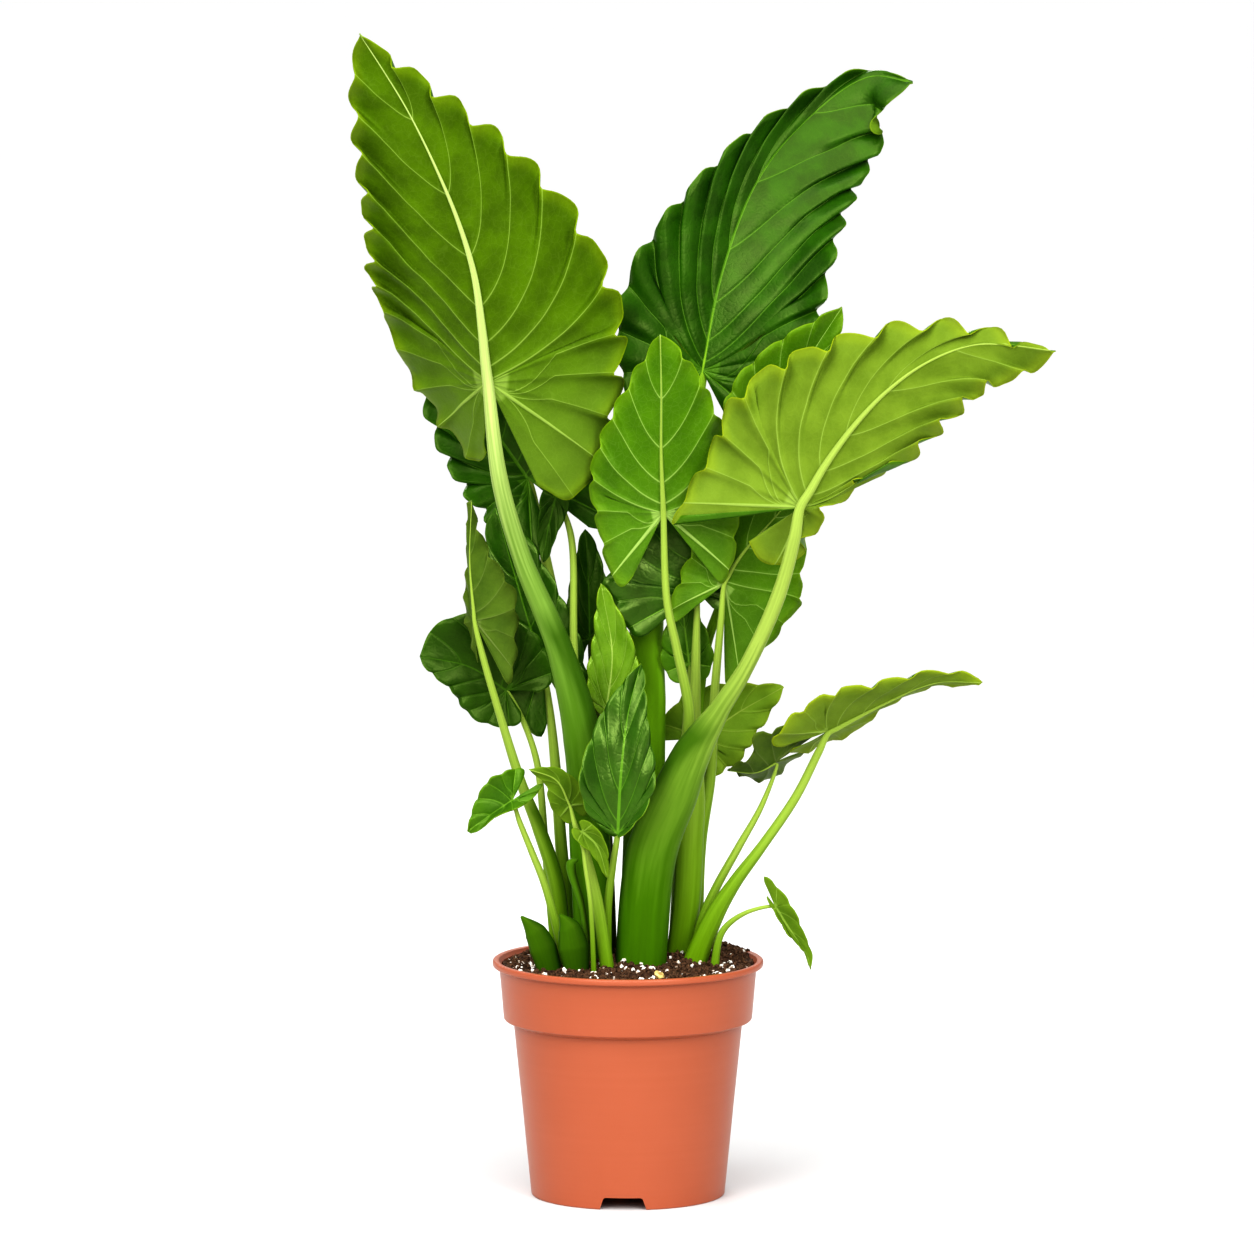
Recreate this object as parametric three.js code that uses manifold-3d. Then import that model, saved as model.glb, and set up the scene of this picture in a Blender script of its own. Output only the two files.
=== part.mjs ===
// Potted alocasia: long-stalked, wavy, arrow-shaped leaves that grow from peat in a plastic nursery pot.
// Millimetres, +Z up. The origin is the middle of the foot that the pot stands on. The front is -Y.
import * as THREE from "three";
import { mergeVertices } from "three/addons/utils/BufferGeometryUtils.js";
import Module from "manifold-3d";

const wasm = await Module();
wasm.setup();

// ---------------------------------------------------------------- driving dimensions

const clearance = 0.3; // between two pieces that lie on each other

const pot = {
  height: 210,
  rimRadius: 120,
  rimBead: 6,
  bandRadius: [110, 114], // at the band's lower edge and under the rim
  bandDepth: 52,
  bodyRadius: [86, 101.5], // at the foot and under the band
  stepHeight: 4,
  footRound: 4,
  wall: 2,
  floor: 14, // height of the raised floor's underside
  hubRadius: 16,
  ribWidth: 5,
  ribs: 6,
  notches: 3,
  notchWidth: [42, 34], // at the bottom and at the top
  notchHeight: 11,
  notchAngle: -93, // degrees from +X to the notch that shows in front
  drainHoles: 6,
  drainRadius: 6,
  drainCircle: 58,
  sides: 40,
};

const soil = {
  level: 204.5, // at the wall, 5.5 below the rim
  rough: 1.6,
  mound: 9, // how much higher it lies round the stems
  moundWidth: 70,
  heap: 12, // the mound against the right of the rim
  heapAt: [76, 34],
  heapWidth: 32,
  stemDepth: 22, // how deep the stems stand below the level at the wall
  holeSpare: 1.5, // room round a stem in its hole
};

const blade = {
  thickness: 1,
  ribShare: 0.06, // the rib's half width in half blade widths
  veinCurve: 0.6, // how much a side vein bends towards the tip
  veinSweep: 2.2, // how much closer the veins leave the midrib near the junction
  scallop: 0.9, // how far the margin's waves reach out, to their height
  quilt: 0.12, // how far the blade bulges between veins, to the waves' height
  openShare: 0.35, // part of the midrib along which the base's extra fold fades
  pinchShare: 0.26, // part of the length to both sides of the junction that a pinch narrows
  fanShare: 0.4, // part of the margin whose veins spread from the junction
};

const stem = {
  thick: 20, // a foot wider than this has ten sides and not six
  sides: [6, 10],
  flat: [0.6, 5], // depth from the width: this share of it and this much more
  steps: 2, // facets from one point of its route to the next
  closing: 8, // times its end is moved up to the blade
};

// ---------------------------------------------------------------- colours

const colours = {
  pot: "#d8683f",
  soil: "#3a261c",
  stalk: "#9cc24a",
  palest: "#b4cf52",
  under: "#7aa81f",
  upper: "#2f6d16",
  mid: "#4f9222",
};

const finishes = {};
for (const [name, colour] of Object.entries(colours)) {
  const roughness = name === "soil" ? 0.95 : 0.45;
  finishes[name] = { color: colour, roughness, metalness: 0 };
}

const group = new THREE.Group();

function addPiece(name, geometry, finish) {
  const mesh = new THREE.Mesh(geometry, new THREE.MeshStandardMaterial(finishes[finish]));
  mesh.name = name;
  group.add(mesh);
}

// ---------------------------------------------------------------- closed shapes

// One closed body: shared corners merged, and triangles without an area dropped.
function weld(geometry) {
  const loose = geometry.clone();
  loose.deleteAttribute("normal");
  loose.deleteAttribute("uv");
  const merged = mergeVertices(loose, 1e-3);
  const index = [];
  for (let i = 0; i < merged.index.count; i += 3) {
    const [a, b, c] = [0, 1, 2].map((corner) => merged.index.getX(i + corner));
    if (a !== b && b !== c && c !== a) index.push(a, b, c);
  }
  merged.setIndex(index);
  return merged;
}

function toSolid(geometry) {
  const closed = weld(geometry);
  return new wasm.Manifold(new wasm.Mesh({
    numProp: 3,
    vertProperties: new Float32Array(closed.attributes.position.array),
    triVerts: new Uint32Array(closed.index.array),
  }));
}

function toGeometry(solid) {
  const mesh = solid.getMesh();
  const geometry = new THREE.BufferGeometry();
  geometry.setAttribute("position", new THREE.BufferAttribute(mesh.vertProperties, 3));
  geometry.setIndex(new THREE.BufferAttribute(mesh.triVerts, 1));
  return geometry;
}

// Turned shapes: [radius, height] points that start and end on the axis, from the bottom up.
function turned(profile, sides) {
  const points = profile.map(([radius, height]) => new THREE.Vector2(radius, height));
  return new THREE.LatheGeometry(points, sides).rotateX(Math.PI / 2);
}

// A sheet gets its thickness: the same triangles on both faces, and a rim round its edge.
// The sheet's rib attribute says how much further its underside stands out.
function thicken(sheet, thickness) {
  const middle = weld(sheet);
  middle.computeVertexNormals();
  const place = middle.attributes.position;
  const normal = middle.attributes.normal;
  const rib = middle.attributes.rib;
  const count = place.count;
  const corners = [];
  for (const face of [1, -1]) {
    for (let i = 0; i < count; i += 1) {
      const reach = face * thickness / 2 - (face < 0 ? rib.getX(i) : 0);
      corners.push(place.getX(i) + normal.getX(i) * reach);
      corners.push(place.getY(i) + normal.getY(i) * reach);
      corners.push(place.getZ(i) + normal.getZ(i) * reach);
    }
  }
  const index = [];
  const edges = new Set();
  for (let i = 0; i < middle.index.count; i += 3) {
    const [a, b, c] = [0, 1, 2].map((corner) => middle.index.getX(i + corner));
    index.push(a, b, c, a + count, c + count, b + count);
    edges.add(`${a} ${b}`).add(`${b} ${c}`).add(`${c} ${a}`);
  }
  for (const edge of edges) {
    const [a, b] = edge.split(" ").map(Number);
    if (!edges.has(`${b} ${a}`)) index.push(b, a, a + count, b, a + count, b + count);
  }
  const solid = new THREE.BufferGeometry();
  solid.setAttribute("position", new THREE.Float32BufferAttribute(corners, 3));
  solid.setIndex(index);
  return solid;
}

// ---------------------------------------------------------------- leaf blades

// Half of an alocasia blade, from the inner corner of its back lobe round to its tip.
// Along: -1 is the lobe's full length, 1 is the tip. Across: 1 is the full half width.
const halfOutline = [
  [-0.84, 0.26], [-1, 0.46], [-0.86, 0.66], [-0.46, 0.84], [0, 0.97], [0.15, 1],
  [0.33, 0.88], [0.5, 0.69], [0.67, 0.49], [0.82, 0.29], [0.94, 0.11], [1, 0],
];

const front = new THREE.Vector3(0, -1, 0);
const radians = THREE.MathUtils.degToRad;

// The midrib's point at a distance from the junction, and there the way it runs, the way across it to
// the leaf's own right, and the way its upper side looks. A turn of 0 shows the upper side in front.
function ribFrame(leaf, along) {
  const share = THREE.MathUtils.clamp(along / leaf.length, 0, 1);
  const point = leaf.curve.getPointAt(share);
  const ahead = leaf.curve.getTangentAt(share);
  const up = front.clone().addScaledVector(ahead, -front.dot(ahead)).normalize();
  up.applyAxisAngle(ahead, radians(THREE.MathUtils.lerp(leaf.turn[0], leaf.turn[1], share)));
  const right = new THREE.Vector3().crossVectors(ahead, up);
  return { point, ahead, up, right };
}

// A blade's point from its place on the flat leaf: each half is folded up along the midrib, and folded
// up further near the junction and on its back lobe.
function bladePoint(leaf, side, along, across, lift) {
  const { point, ahead, up, right } = ribFrame(leaf, along);
  const open = blade.openShare * leaf.length;
  const nearBase = Math.max(0, (open - along) / (open + leaf.lobe[side]));
  const fold = radians(leaf.fold[side] + leaf.baseFold[side] * nearBase);
  const outward = right.multiplyScalar((side ? 1 : -1) * Math.cos(fold));
  outward.addScaledVector(up, Math.sin(fold));
  const normal = new THREE.Vector3().crossVectors(outward, ahead).multiplyScalar(side ? 1 : -1);
  const back = THREE.MathUtils.clamp(-along / leaf.lobe[side], 0, 1);
  point.addScaledVector(ahead, Math.min(0, along)).addScaledVector(up, leaf.tuck[side] * back ** 0.6);
  point.addScaledVector(outward, across);
  return point.addScaledVector(normal, lift);
}

// The margin's waves: -1 at the end of a side vein, 1 halfway to the next, uneven along the leaf.
function ripple(leaf, side, share) {
  const uneven = 1 + 0.4 * Math.sin(5.3 * share * leaf.veins + 2.1 * side + leaf.seed);
  return -Math.cos(2 * Math.PI * share * leaf.veins) * uneven;
}

// The place of a blade's point: the share of the margin where its vein ends, and how far out on the vein.
function veinPoint(leaf, side, share, out) {
  const end = leaf.margin[side].getPointAt(share);
  const spread = Math.max(0, (share - blade.fanShare) / (1 - blade.fanShare));
  const root = leaf.length * spread ** blade.veinSweep;
  const bend = out * (1 - blade.veinCurve + blade.veinCurve * out);
  const edge = Math.min(1, 5 * share) * Math.min(1, 8 * (1 - share)) ** 0.5;
  const wave = leaf.wave * ripple(leaf, side, share) * edge;
  const along = root + (end.x - root) * (root > 0 ? bend : out);
  const across = (end.y + blade.scallop * wave * out ** 2) * out;
  const sway = leaf.sway * Math.sin(2 * Math.PI * (1.6 * share + leaf.seed / 7 + side / 3));
  const quilt = blade.quilt * leaf.wave * (1 + ripple(leaf, side, share)) * 2 * out * (1 - out);
  const lift = wave * out ** 5 + sway * out ** 2 + quilt;
  return bladePoint(leaf, side, along, across * (share < 1 ? 1 : 0), share < 1 ? lift : 0);
}

function completeLeaf(given) {
  const leaf = {
    slim: [1, 1], splay: [0, 0], pinch: [0, 0], narrow: 0, tuck: [0, 0], baseFold: [0, 0], sway: 3,
    ...given,
  };
  leaf.curve = new THREE.CatmullRomCurve3(leaf.rib.map((point) => new THREE.Vector3(...point)));
  leaf.length = leaf.curve.getLength();
  leaf.margin = [0, 1].map((side) => new THREE.CatmullRomCurve3(halfOutline.map(([along, across]) => {
    const place = along * (along > 0 ? leaf.length : leaf.lobe[side]);
    const open = along > 0 ? across ** leaf.slim[side] : THREE.MathUtils.lerp(across, 0.97, leaf.splay[side]);
    const pinched = 1 - leaf.pinch[side] * Math.exp(-((place / (blade.pinchShare * leaf.length)) ** 2));
    const fromBase = leaf.narrow ? (place + leaf.lobe[side]) / (leaf.narrow * leaf.length) : 1;
    return new THREE.Vector3(place, open * pinched * Math.min(1, fromBase) ** 0.6 * leaf.width[side], 0);
  })));
  return leaf;
}

// The share of the vein at each of a blade's columns: the rib's foot first, then out to the margin.
function columnShares(columns) {
  const shares = [0, blade.ribShare];
  for (let i = 1; i < columns; i += 1) shares.push(blade.ribShare + (1 - blade.ribShare) * i / (columns - 1));
  return shares;
}

function bladeGeometry(leaf, columns) {
  const rows = leaf.veins * 2;
  const shares = columnShares(columns);
  const sheet = new THREE.PlaneGeometry(2, 1, columns * 2, rows);
  const place = sheet.attributes.position;
  const rib = new Float32Array(place.count);
  for (let i = 0; i < place.count; i += 1) {
    const column = Math.round(place.getX(i) * columns);
    const share = place.getY(i) + 0.5;
    const side = column > 0 ? 1 : 0;
    const point = veinPoint(leaf, side, share, shares[Math.abs(column)]);
    place.setXYZ(i, ...point);
    const taper = 1 - Math.max(0, (share - blade.fanShare) / (1 - blade.fanShare));
    if (column === 0 && share > blade.fanShare) rib[i] = leaf.rise * taper;
  }
  sheet.setAttribute("rib", new THREE.BufferAttribute(rib, 1));
  return thicken(sheet, blade.thickness);
}

// ---------------------------------------------------------------- the plant's leaves

// Each leaf's midrib runs from the junction to the tip, and turns from front to side by the two angles of
// turn: 0 shows the upper side in front, 180 the underside. Pairs are for the left and right half, as seen
// on the upper side. Width and lobe are the half's reach sideways and behind the junction. Slim above 1
// narrows it towards the tip. Splay widens its lobe or, below 0, brings it across the stalk. Pinch narrows
// it at the junction, and tuck is how far its lobe lies behind. Fold and baseFold are degrees. Narrow is
// the part of the length in which the base widens. Wave and sway are the margin's short and long waves,
// veins those of a half, columns the facets across a half, and rise is the midrib's height. The stalk's
// points have its width, from the soil up.
const leaves = {
  upper_left: {
    rib: [[-122, -60, 727], [-137, -85, 838], [-185, -110, 957], [-231, -115, 1033]],
    turn: [180, 180], width: [122, 108], lobe: [122, 85], slim: [1.35, 0.75], fold: [12, 20],
    baseFold: [0, 48],
    wave: 8, sway: 6, veins: 13, columns: 4, rise: 5, seed: 1, finish: "under",
    stalk: [[-30, -8, 205, 34], [-34, -12, 309, 35], [-40, -22, 408, 34], [-60, -36, 490, 23],
      [-93, -48, 573, 17], [-112, -57, 642, 15]],
  },
  upper_right: {
    rib: [[66, 60, 728], [83, 75, 812], [115, 95, 894], [159, 115, 947], [215, 120, 985],
      [253, 105, 980]],
    turn: [0, 0], width: [84, 100], lobe: [60, 40], slim: [1.8, 0.42], fold: [20, 20],
    wave: 6, sway: 6, veins: 12, columns: 4, rise: 5, seed: 2, finish: "upper",
    stalk: [[11, 30, 205, 37], [15, 34, 347, 35], [16, 40, 436, 35], [18, 46, 515, 28],
      [35, 54, 613, 18], [57, 60, 684, 13]],
  },
  middle: {
    rib: [[31, -33, 610], [29, -42, 662], [29, -54, 721], [28, -66, 770]],
    turn: [180, 180], width: [70, 66], lobe: [70, 68], slim: [0.8, 1], splay: [0.5, 0.25],
    fold: [15, 15],
    wave: 3, sway: 5, veins: 9, columns: 3, rise: 3, seed: 3, finish: "under",
    stalk: [[24, 3, 205, 16], [35, 0, 305, 15], [49, -8, 371, 14], [54, -16, 430, 10], [43, -26, 489, 8],
      [34, -33, 534, 7]],
  },
  right: {
    rib: [[150, -93, 621], [186, -104, 681], [242, -116, 739], [299, -124, 765], [369, -127, 760]],
    turn: [170, 185], width: [66, 104], lobe: [66, 82], slim: [0.5, 2], splay: [-1.3, 0.85],
    pinch: [0.7, 0], tuck: [30, 0], fold: [12, 15],
    wave: 8, sway: 5, veins: 11, columns: 4, rise: 4, seed: 4, finish: "palest",
    stalk: [[11, -25, 205, 45], [21, -27, 309, 45], [41, -30, 361, 41], [57, -34, 399, 33],
      [81, -42, 439, 18], [103, -52, 476, 14], [131, -76, 542, 13], [145, -92, 596, 11]],
  },
  behind_middle: {
    rib: [[61, 18, 536], [55, 22, 582], [46, 28, 643]],
    turn: [0, 0], width: [80, 46], lobe: [34, 20], splay: [0.4, 0], fold: [3, 3],
    wave: 3, veins: 7, columns: 3, rise: 2, seed: 5, finish: "upper",
    stalk: [[45, 17, 205, 23], [52, 16, 260, 25], [56, 16, 350, 25], [59, 14, 422, 11], [60, 10, 484, 8]],
  },
  behind_right: {
    rib: [[130, 5, 677], [152, 10, 730], [188, 12, 788]],
    turn: [0, 0], width: [54, 45], lobe: [45, 40], fold: [15, 15],
    wave: 3, veins: 7, columns: 3, rise: 2, seed: 6, finish: "upper",
    stalk: [[46, 56, 205, 16], [54, 56, 302, 16], [60, 54, 401, 11], [69, 48, 481, 9], [87, 36, 536, 8],
      [112, 18, 625, 7]],
  },
  below_right: {
    rib: [[85, -4, 545], [98, -5, 568], [130, -9, 605], [161, -12, 643]],
    turn: [180, 180], width: [70, 40], lobe: [80, 56], slim: [1.1, 1], splay: [0.45, 0.3],
    fold: [15, 15],
    wave: 3, veins: 8, columns: 3, rise: 2, seed: 7, finish: "mid",
    stalk: [[60, 38, 205, 14], [63, 36, 305, 13], [73, 31, 370, 10], [76, 4, 440, 8], [82, -10, 515, 6]],
  },
  low_right: {
    rib: [[67, 72, 398], [97, 74, 420], [139, 72, 444]],
    turn: [0, 0], width: [42, 36], lobe: [34, 34], splay: [0.3, 0.3], fold: [12, 12],
    wave: 2, veins: 6, columns: 2, rise: 2, seed: 8, finish: "mid",
    stalk: [[29, 62, 205, 12], [38, 70, 300, 11], [54, 77, 365, 8]],
  },
  far_right: {
    rib: [[176, -15, 415], [222, -25, 440], [270, -35, 461], [311, -42, 462]],
    turn: [-118, -113], width: [52, 50], lobe: [45, 45], fold: [12, 12],
    wave: 2, veins: 7, columns: 3, rise: 2, seed: 9, finish: "mid",
    stalk: [[58, -12, 205, 22], [76, -13, 250, 17], [94, -14, 280, 12], [119, -15, 314, 9],
      [148, -16, 357, 8], [168, -16, 397, 7]],
  },
  under_far_right: {
    rib: [[132, 32, 382], [114, 30, 373], [88, 28, 375]],
    turn: [120, 120], width: [46, 44], lobe: [60, 50], fold: [12, 12],
    wave: 2, veins: 6, columns: 2, rise: 1, seed: 10, finish: "upper",
    stalk: [[58, 6, 205, 11], [66, 7, 243, 10], [77, 10, 270, 8], [97, 16, 306, 7], [119, 23, 345, 5]],
  },
  lowest_right: {
    rib: [[130, -35, 262], [144, -38, 240], [157, -41, 221], [161, -42, 207]],
    turn: [0, 0], width: [13, 4], lobe: [28, 12], fold: [10, 30],
    wave: 1, sway: 1, veins: 5, columns: 2, rise: 1, seed: 11, finish: "mid",
    stalk: [[76, -30, 205, 8], [83, -31, 239, 6], [103, -33, 256, 4]],
  },
  inner_right: {
    rib: [[54, 30, 470], [50, 31, 505], [46, 33, 545]],
    turn: [0, 0], width: [24, 22], lobe: [16, 16], fold: [8, 8],
    wave: 1, sway: 2, veins: 5, columns: 2, rise: 1, seed: 23, finish: "upper",
    stalk: [[40, 38, 205, 9], [45, 40, 305, 8], [50, 40, 400, 6]],
  },
  behind_left: {
    rib: [[-89, 60, 632], [-131, 72, 692], [-168, 85, 750], [-188, 95, 790]],
    turn: [0, 0], width: [54, 80], lobe: [65, 80], slim: [0.8, 1], fold: [15, 15],
    wave: 6, veins: 10, columns: 3, rise: 4, seed: 12, finish: "upper",
    stalk: [[-28, 38, 205, 19], [-34, 40, 302, 18], [-44, 44, 400, 13], [-59, 54, 489, 11],
      [-76, 64, 573, 9]],
  },
  left_folded: {
    rib: [[-135, -20, 514], [-139, -24, 568], [-137, -26, 621]],
    turn: [180, 180], width: [38, 20], lobe: [60, 40], slim: [1.6, 1], splay: [0.4, 0], fold: [5, 70],
    wave: 2.5, veins: 7, columns: 2, rise: 2, seed: 13, finish: "under",
    stalk: [[-56, -6, 205, 12], [-63, -6, 277, 14], [-78, -8, 326, 12], [-94, -10, 368, 9],
      [-113, -14, 430, 7], [-128, -18, 483, 6]],
  },
  left_round: {
    rib: [[-108, 16, 448], [-140, 14, 469], [-184, 8, 479]],
    turn: [0, 0], width: [36, 56], lobe: [26, 30], slim: [0.7, 0.4], fold: [8, 0],
    wave: 1.2, veins: 7, columns: 3, rise: 2, seed: 14, finish: "upper",
    stalk: [[-64, 12, 205, 9], [-73, 13, 305, 7], [-81, 16, 385, 6], [-94, 22, 422, 5]],
  },
  left_dark: {
    rib: [[-76, 37, 467], [-96, 36, 533], [-117, 30, 609]],
    turn: [0, 0], width: [42, 40], lobe: [60, 55], slim: [0.7, 0.7], fold: [2, 8],
    wave: 2, veins: 7, columns: 3, rise: 2, seed: 15, finish: "upper",
    stalk: [[-50, 22, 205, 14], [-59, 24, 304, 11], [-65, 35, 384, 9], [-70, 42, 430, 7]],
  },
  low_left: {
    rib: [[-102, -47, 358], [-121, -53, 346], [-141, -56, 332]],
    turn: [0, 0], width: [12, 28], lobe: [30, 24], splay: [0, 0.2], fold: [50, 10],
    wave: 1.2, veins: 6, columns: 2, rise: 1, seed: 16, finish: "mid",
    stalk: [[-55, -26, 205, 9], [-72, -32, 277, 7], [-85, -38, 312, 6], [-95, -44, 338, 5]],
  },
  small_pale: {
    rib: [[-51, -50, 354], [-63, -54, 377], [-87, -58, 387]],
    turn: [180, 180], width: [16, 16], lobe: [15, 15], fold: [15, 15],
    wave: 0.6, sway: 1, veins: 5, columns: 2, rise: 1, seed: 17, finish: "palest",
    stalk: [[-18, -46, 205, 13], [-28, -48, 273, 10], [-39, -51, 319, 6], [-46, -55, 336, 5]],
  },
  small_pointed: {
    rib: [[-40, -70, 334], [-27, -72, 321], [-18, -74, 293]],
    turn: [0, 0], width: [11, 10], lobe: [8, 8], fold: [15, 15],
    wave: 0.6, sway: 1, veins: 4, columns: 2, rise: 1, seed: 18, finish: "mid",
    stalk: [[-30, -58, 205, 5], [-33, -66, 270, 4], [-38, -67, 308, 4]],
  },
  front_dark: {
    rib: [[-9, -68, 332], [-6, -66, 386], [0, -56, 436], [11, -42, 479]],
    turn: [0, 0], width: [43, 34], lobe: [4, 4], slim: [0.9, 0.8], narrow: 0.3, fold: [15, 15],
    wave: 1.2, sway: 4, veins: 7, columns: 3, rise: 2, seed: 19, finish: "upper",
    stalk: [[-19, -30, 205, 10], [-18, -38, 262, 8], [-13, -54, 304, 6]],
  },
  inner_pale: {
    rib: [[-19, 12, 431], [-14, 8, 482], [-24, 6, 544]],
    turn: [0, 0], width: [24, 27], lobe: [8, 8], slim: [0.8, 0.8], narrow: 0.3, fold: [15, 15],
    wave: 1.2, sway: 2, veins: 6, columns: 2, rise: 2, seed: 20, finish: "under",
    stalk: [[-20, 15, 205, 12], [-21, 14, 305, 11], [-22, 9, 385, 9]],
  },
  inner_brown: {
    rib: [[-34, 42, 491], [-35, 44, 535], [-38, 48, 588]],
    turn: [0, 0], width: [21, 24], lobe: [15, 15], slim: [0.7, 0.8], fold: [15, 15],
    wave: 0.8, veins: 6, columns: 2, rise: 1, seed: 21, finish: "upper",
    stalk: [[-14, 50, 205, 9], [-20, 50, 347, 8], [-30, 48, 437, 7]],
  },
  inner_narrow: {
    rib: [[-64, 34, 618], [-71, 33, 588], [-75, 31, 560]],
    turn: [0, 0], width: [13, 13], lobe: [12, 12], slim: [0.7, 0.8], fold: [15, 15],
    wave: 0.6, veins: 5, columns: 2, rise: 1, seed: 22, finish: "upper",
    stalk: [[-43, 12, 205, 10], [-44, 10, 351, 8], [-48, 14, 493, 7], [-51, 40, 585, 6]],
  },
};

// ---------------------------------------------------------------- stalks

// A stalk's route starts under the soil and ends against the underside of its blade's junction.
function completeRoute(leaf, bladeSolid, sides) {
  const route = leaf.stalk.map(([x, y, z, width]) => ({ point: new THREE.Vector3(x, y, z), width }));
  const { point, ahead, up } = ribFrame(leaf, 0);
  const last = route.at(-1);
  const arrival = point.clone().sub(last.point).normalize();
  const radius = last.width / 2;
  const slope = Math.abs(arrival.dot(up));
  const below = leaf.rise + blade.thickness + radius * Math.sqrt(1 - slope ** 2);
  point.addScaledVector(up, -below).addScaledVector(ahead, -clearance - radius * slope);
  route.push({ point, width: last.width * 0.95 });
  const whole = buried(route);
  for (let i = 0; i < stem.closing; i += 1) {
    const gap = toSolid(stemGeometry(whole, sides, stem.steps)).minGap(bladeSolid, below);
    point.addScaledVector(up, gap - clearance);
  }
  return whole;
}

// The foot of a route, in the soil.
function buried(route) {
  const [foot, next] = route;
  const lean = next.point.clone().sub(foot.point).multiplyScalar(0.5 / (next.point.z - foot.point.z));
  const point = foot.point.clone().addScaledVector(lean, -soil.stemDepth);
  point.z = soil.level - soil.stemDepth;
  return [{ point, width: foot.width * 0.9 }, ...route];
}

// A tapering stem along a route: a cylinder bent along it. It is wider across the view than deep.
function stemGeometry(route, sides, steps, spare = 0) {
  const curve = new THREE.CatmullRomCurve3(route.map(({ point }) => point));
  const tube = new THREE.CylinderGeometry(1, 1, 1, sides, steps * (route.length - 1));
  const place = tube.attributes.position;
  for (let i = 0; i < place.count; i += 1) {
    const share = place.getY(i) + 0.5;
    const at = share * (route.length - 1);
    const before = Math.min(Math.floor(at), route.length - 2);
    const width = THREE.MathUtils.lerp(route[before].width, route[before + 1].width, at - before);
    const depth = Math.min(width, stem.flat[0] * width + stem.flat[1]);
    const along = curve.getTangent(share);
    const across = new THREE.Vector3(0, 1, 0).cross(along).normalize();
    const out = new THREE.Vector3().crossVectors(across, along);
    const point = curve.getPoint(share);
    point.addScaledVector(across, place.getX(i) * (width / 2 + spare));
    point.addScaledVector(out, place.getZ(i) * (depth / 2 + spare));
    place.setXYZ(i, ...point);
  }
  return weld(tube);
}

// The plain hole that a stem stands in: straight, from its buried end to well above the soil.
function holeFor([end, foot], sides) {
  const above = foot.point.clone().lerp(end.point, -0.8);
  const bottom = { point: end.point.clone().setZ(end.point.z - clearance), width: foot.width };
  return toSolid(stemGeometry([bottom, { point: above, width: foot.width }], sides, 1, soil.holeSpare));
}

const stemHoles = [];
for (const [name, given] of Object.entries(leaves)) {
  const leaf = completeLeaf(given);
  const sides = stem.sides[given.stalk[0][3] > stem.thick ? 1 : 0];
  const surface = bladeGeometry(leaf, given.columns);
  const route = completeRoute(leaf, toSolid(surface), sides);
  addPiece(`leaf_${name}`, surface, given.finish);
  addPiece(`stalk_${name}`, stemGeometry(route, sides, stem.steps), "stalk");
  stemHoles.push(holeFor(route, sides));
}

// ---------------------------------------------------------------- the short leaves at the foot

// A short sheathing leaf without a blade: a folded spear that leans out of the soil.
const shortLeaves = {
  scale_leaf_left: {
    route: [[-69, -42, 205, 21], [-75, -43, 226, 24], [-82, -44, 241, 19], [-94, -45, 255, 2]],
    finish: "upper",
  },
  scale_leaf_right: {
    route: [[-45, -50, 205, 21], [-48, -51, 228, 27], [-52, -52, 246, 20], [-60, -53, 258, 2]],
    finish: "upper",
  },
  spear: {
    route: [[-34, -31, 205, 6], [-40, -32, 258, 5], [-50, -33, 300, 9], [-44, -34, 304, 2]],
    finish: "palest",
  },
};

for (const [name, { route, finish }] of Object.entries(shortLeaves)) {
  const points = route.map(([x, y, z, width]) => ({ point: new THREE.Vector3(x, y, z), width }));
  addPiece(name, stemGeometry(buried(points), stem.sides[0], stem.steps), finish);
  stemHoles.push(holeFor(buried(points), stem.sides[0]));
}

// ---------------------------------------------------------------- pot

const potTop = pot.height;
const bandFoot = potTop - pot.bandDepth;
const bodyTop = bandFoot - pot.stepHeight;

// The inside of the pot's wall, from the floor up to the rim.
const inside = [
  [pot.bodyRadius[0] - pot.wall + 1.5, pot.floor + pot.wall],
  [pot.bodyRadius[1] - pot.wall, bodyTop + 1],
  [pot.bandRadius[0] - pot.wall, bandFoot + 1],
  [pot.bandRadius[1] - pot.wall, potTop - 3],
];

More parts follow.
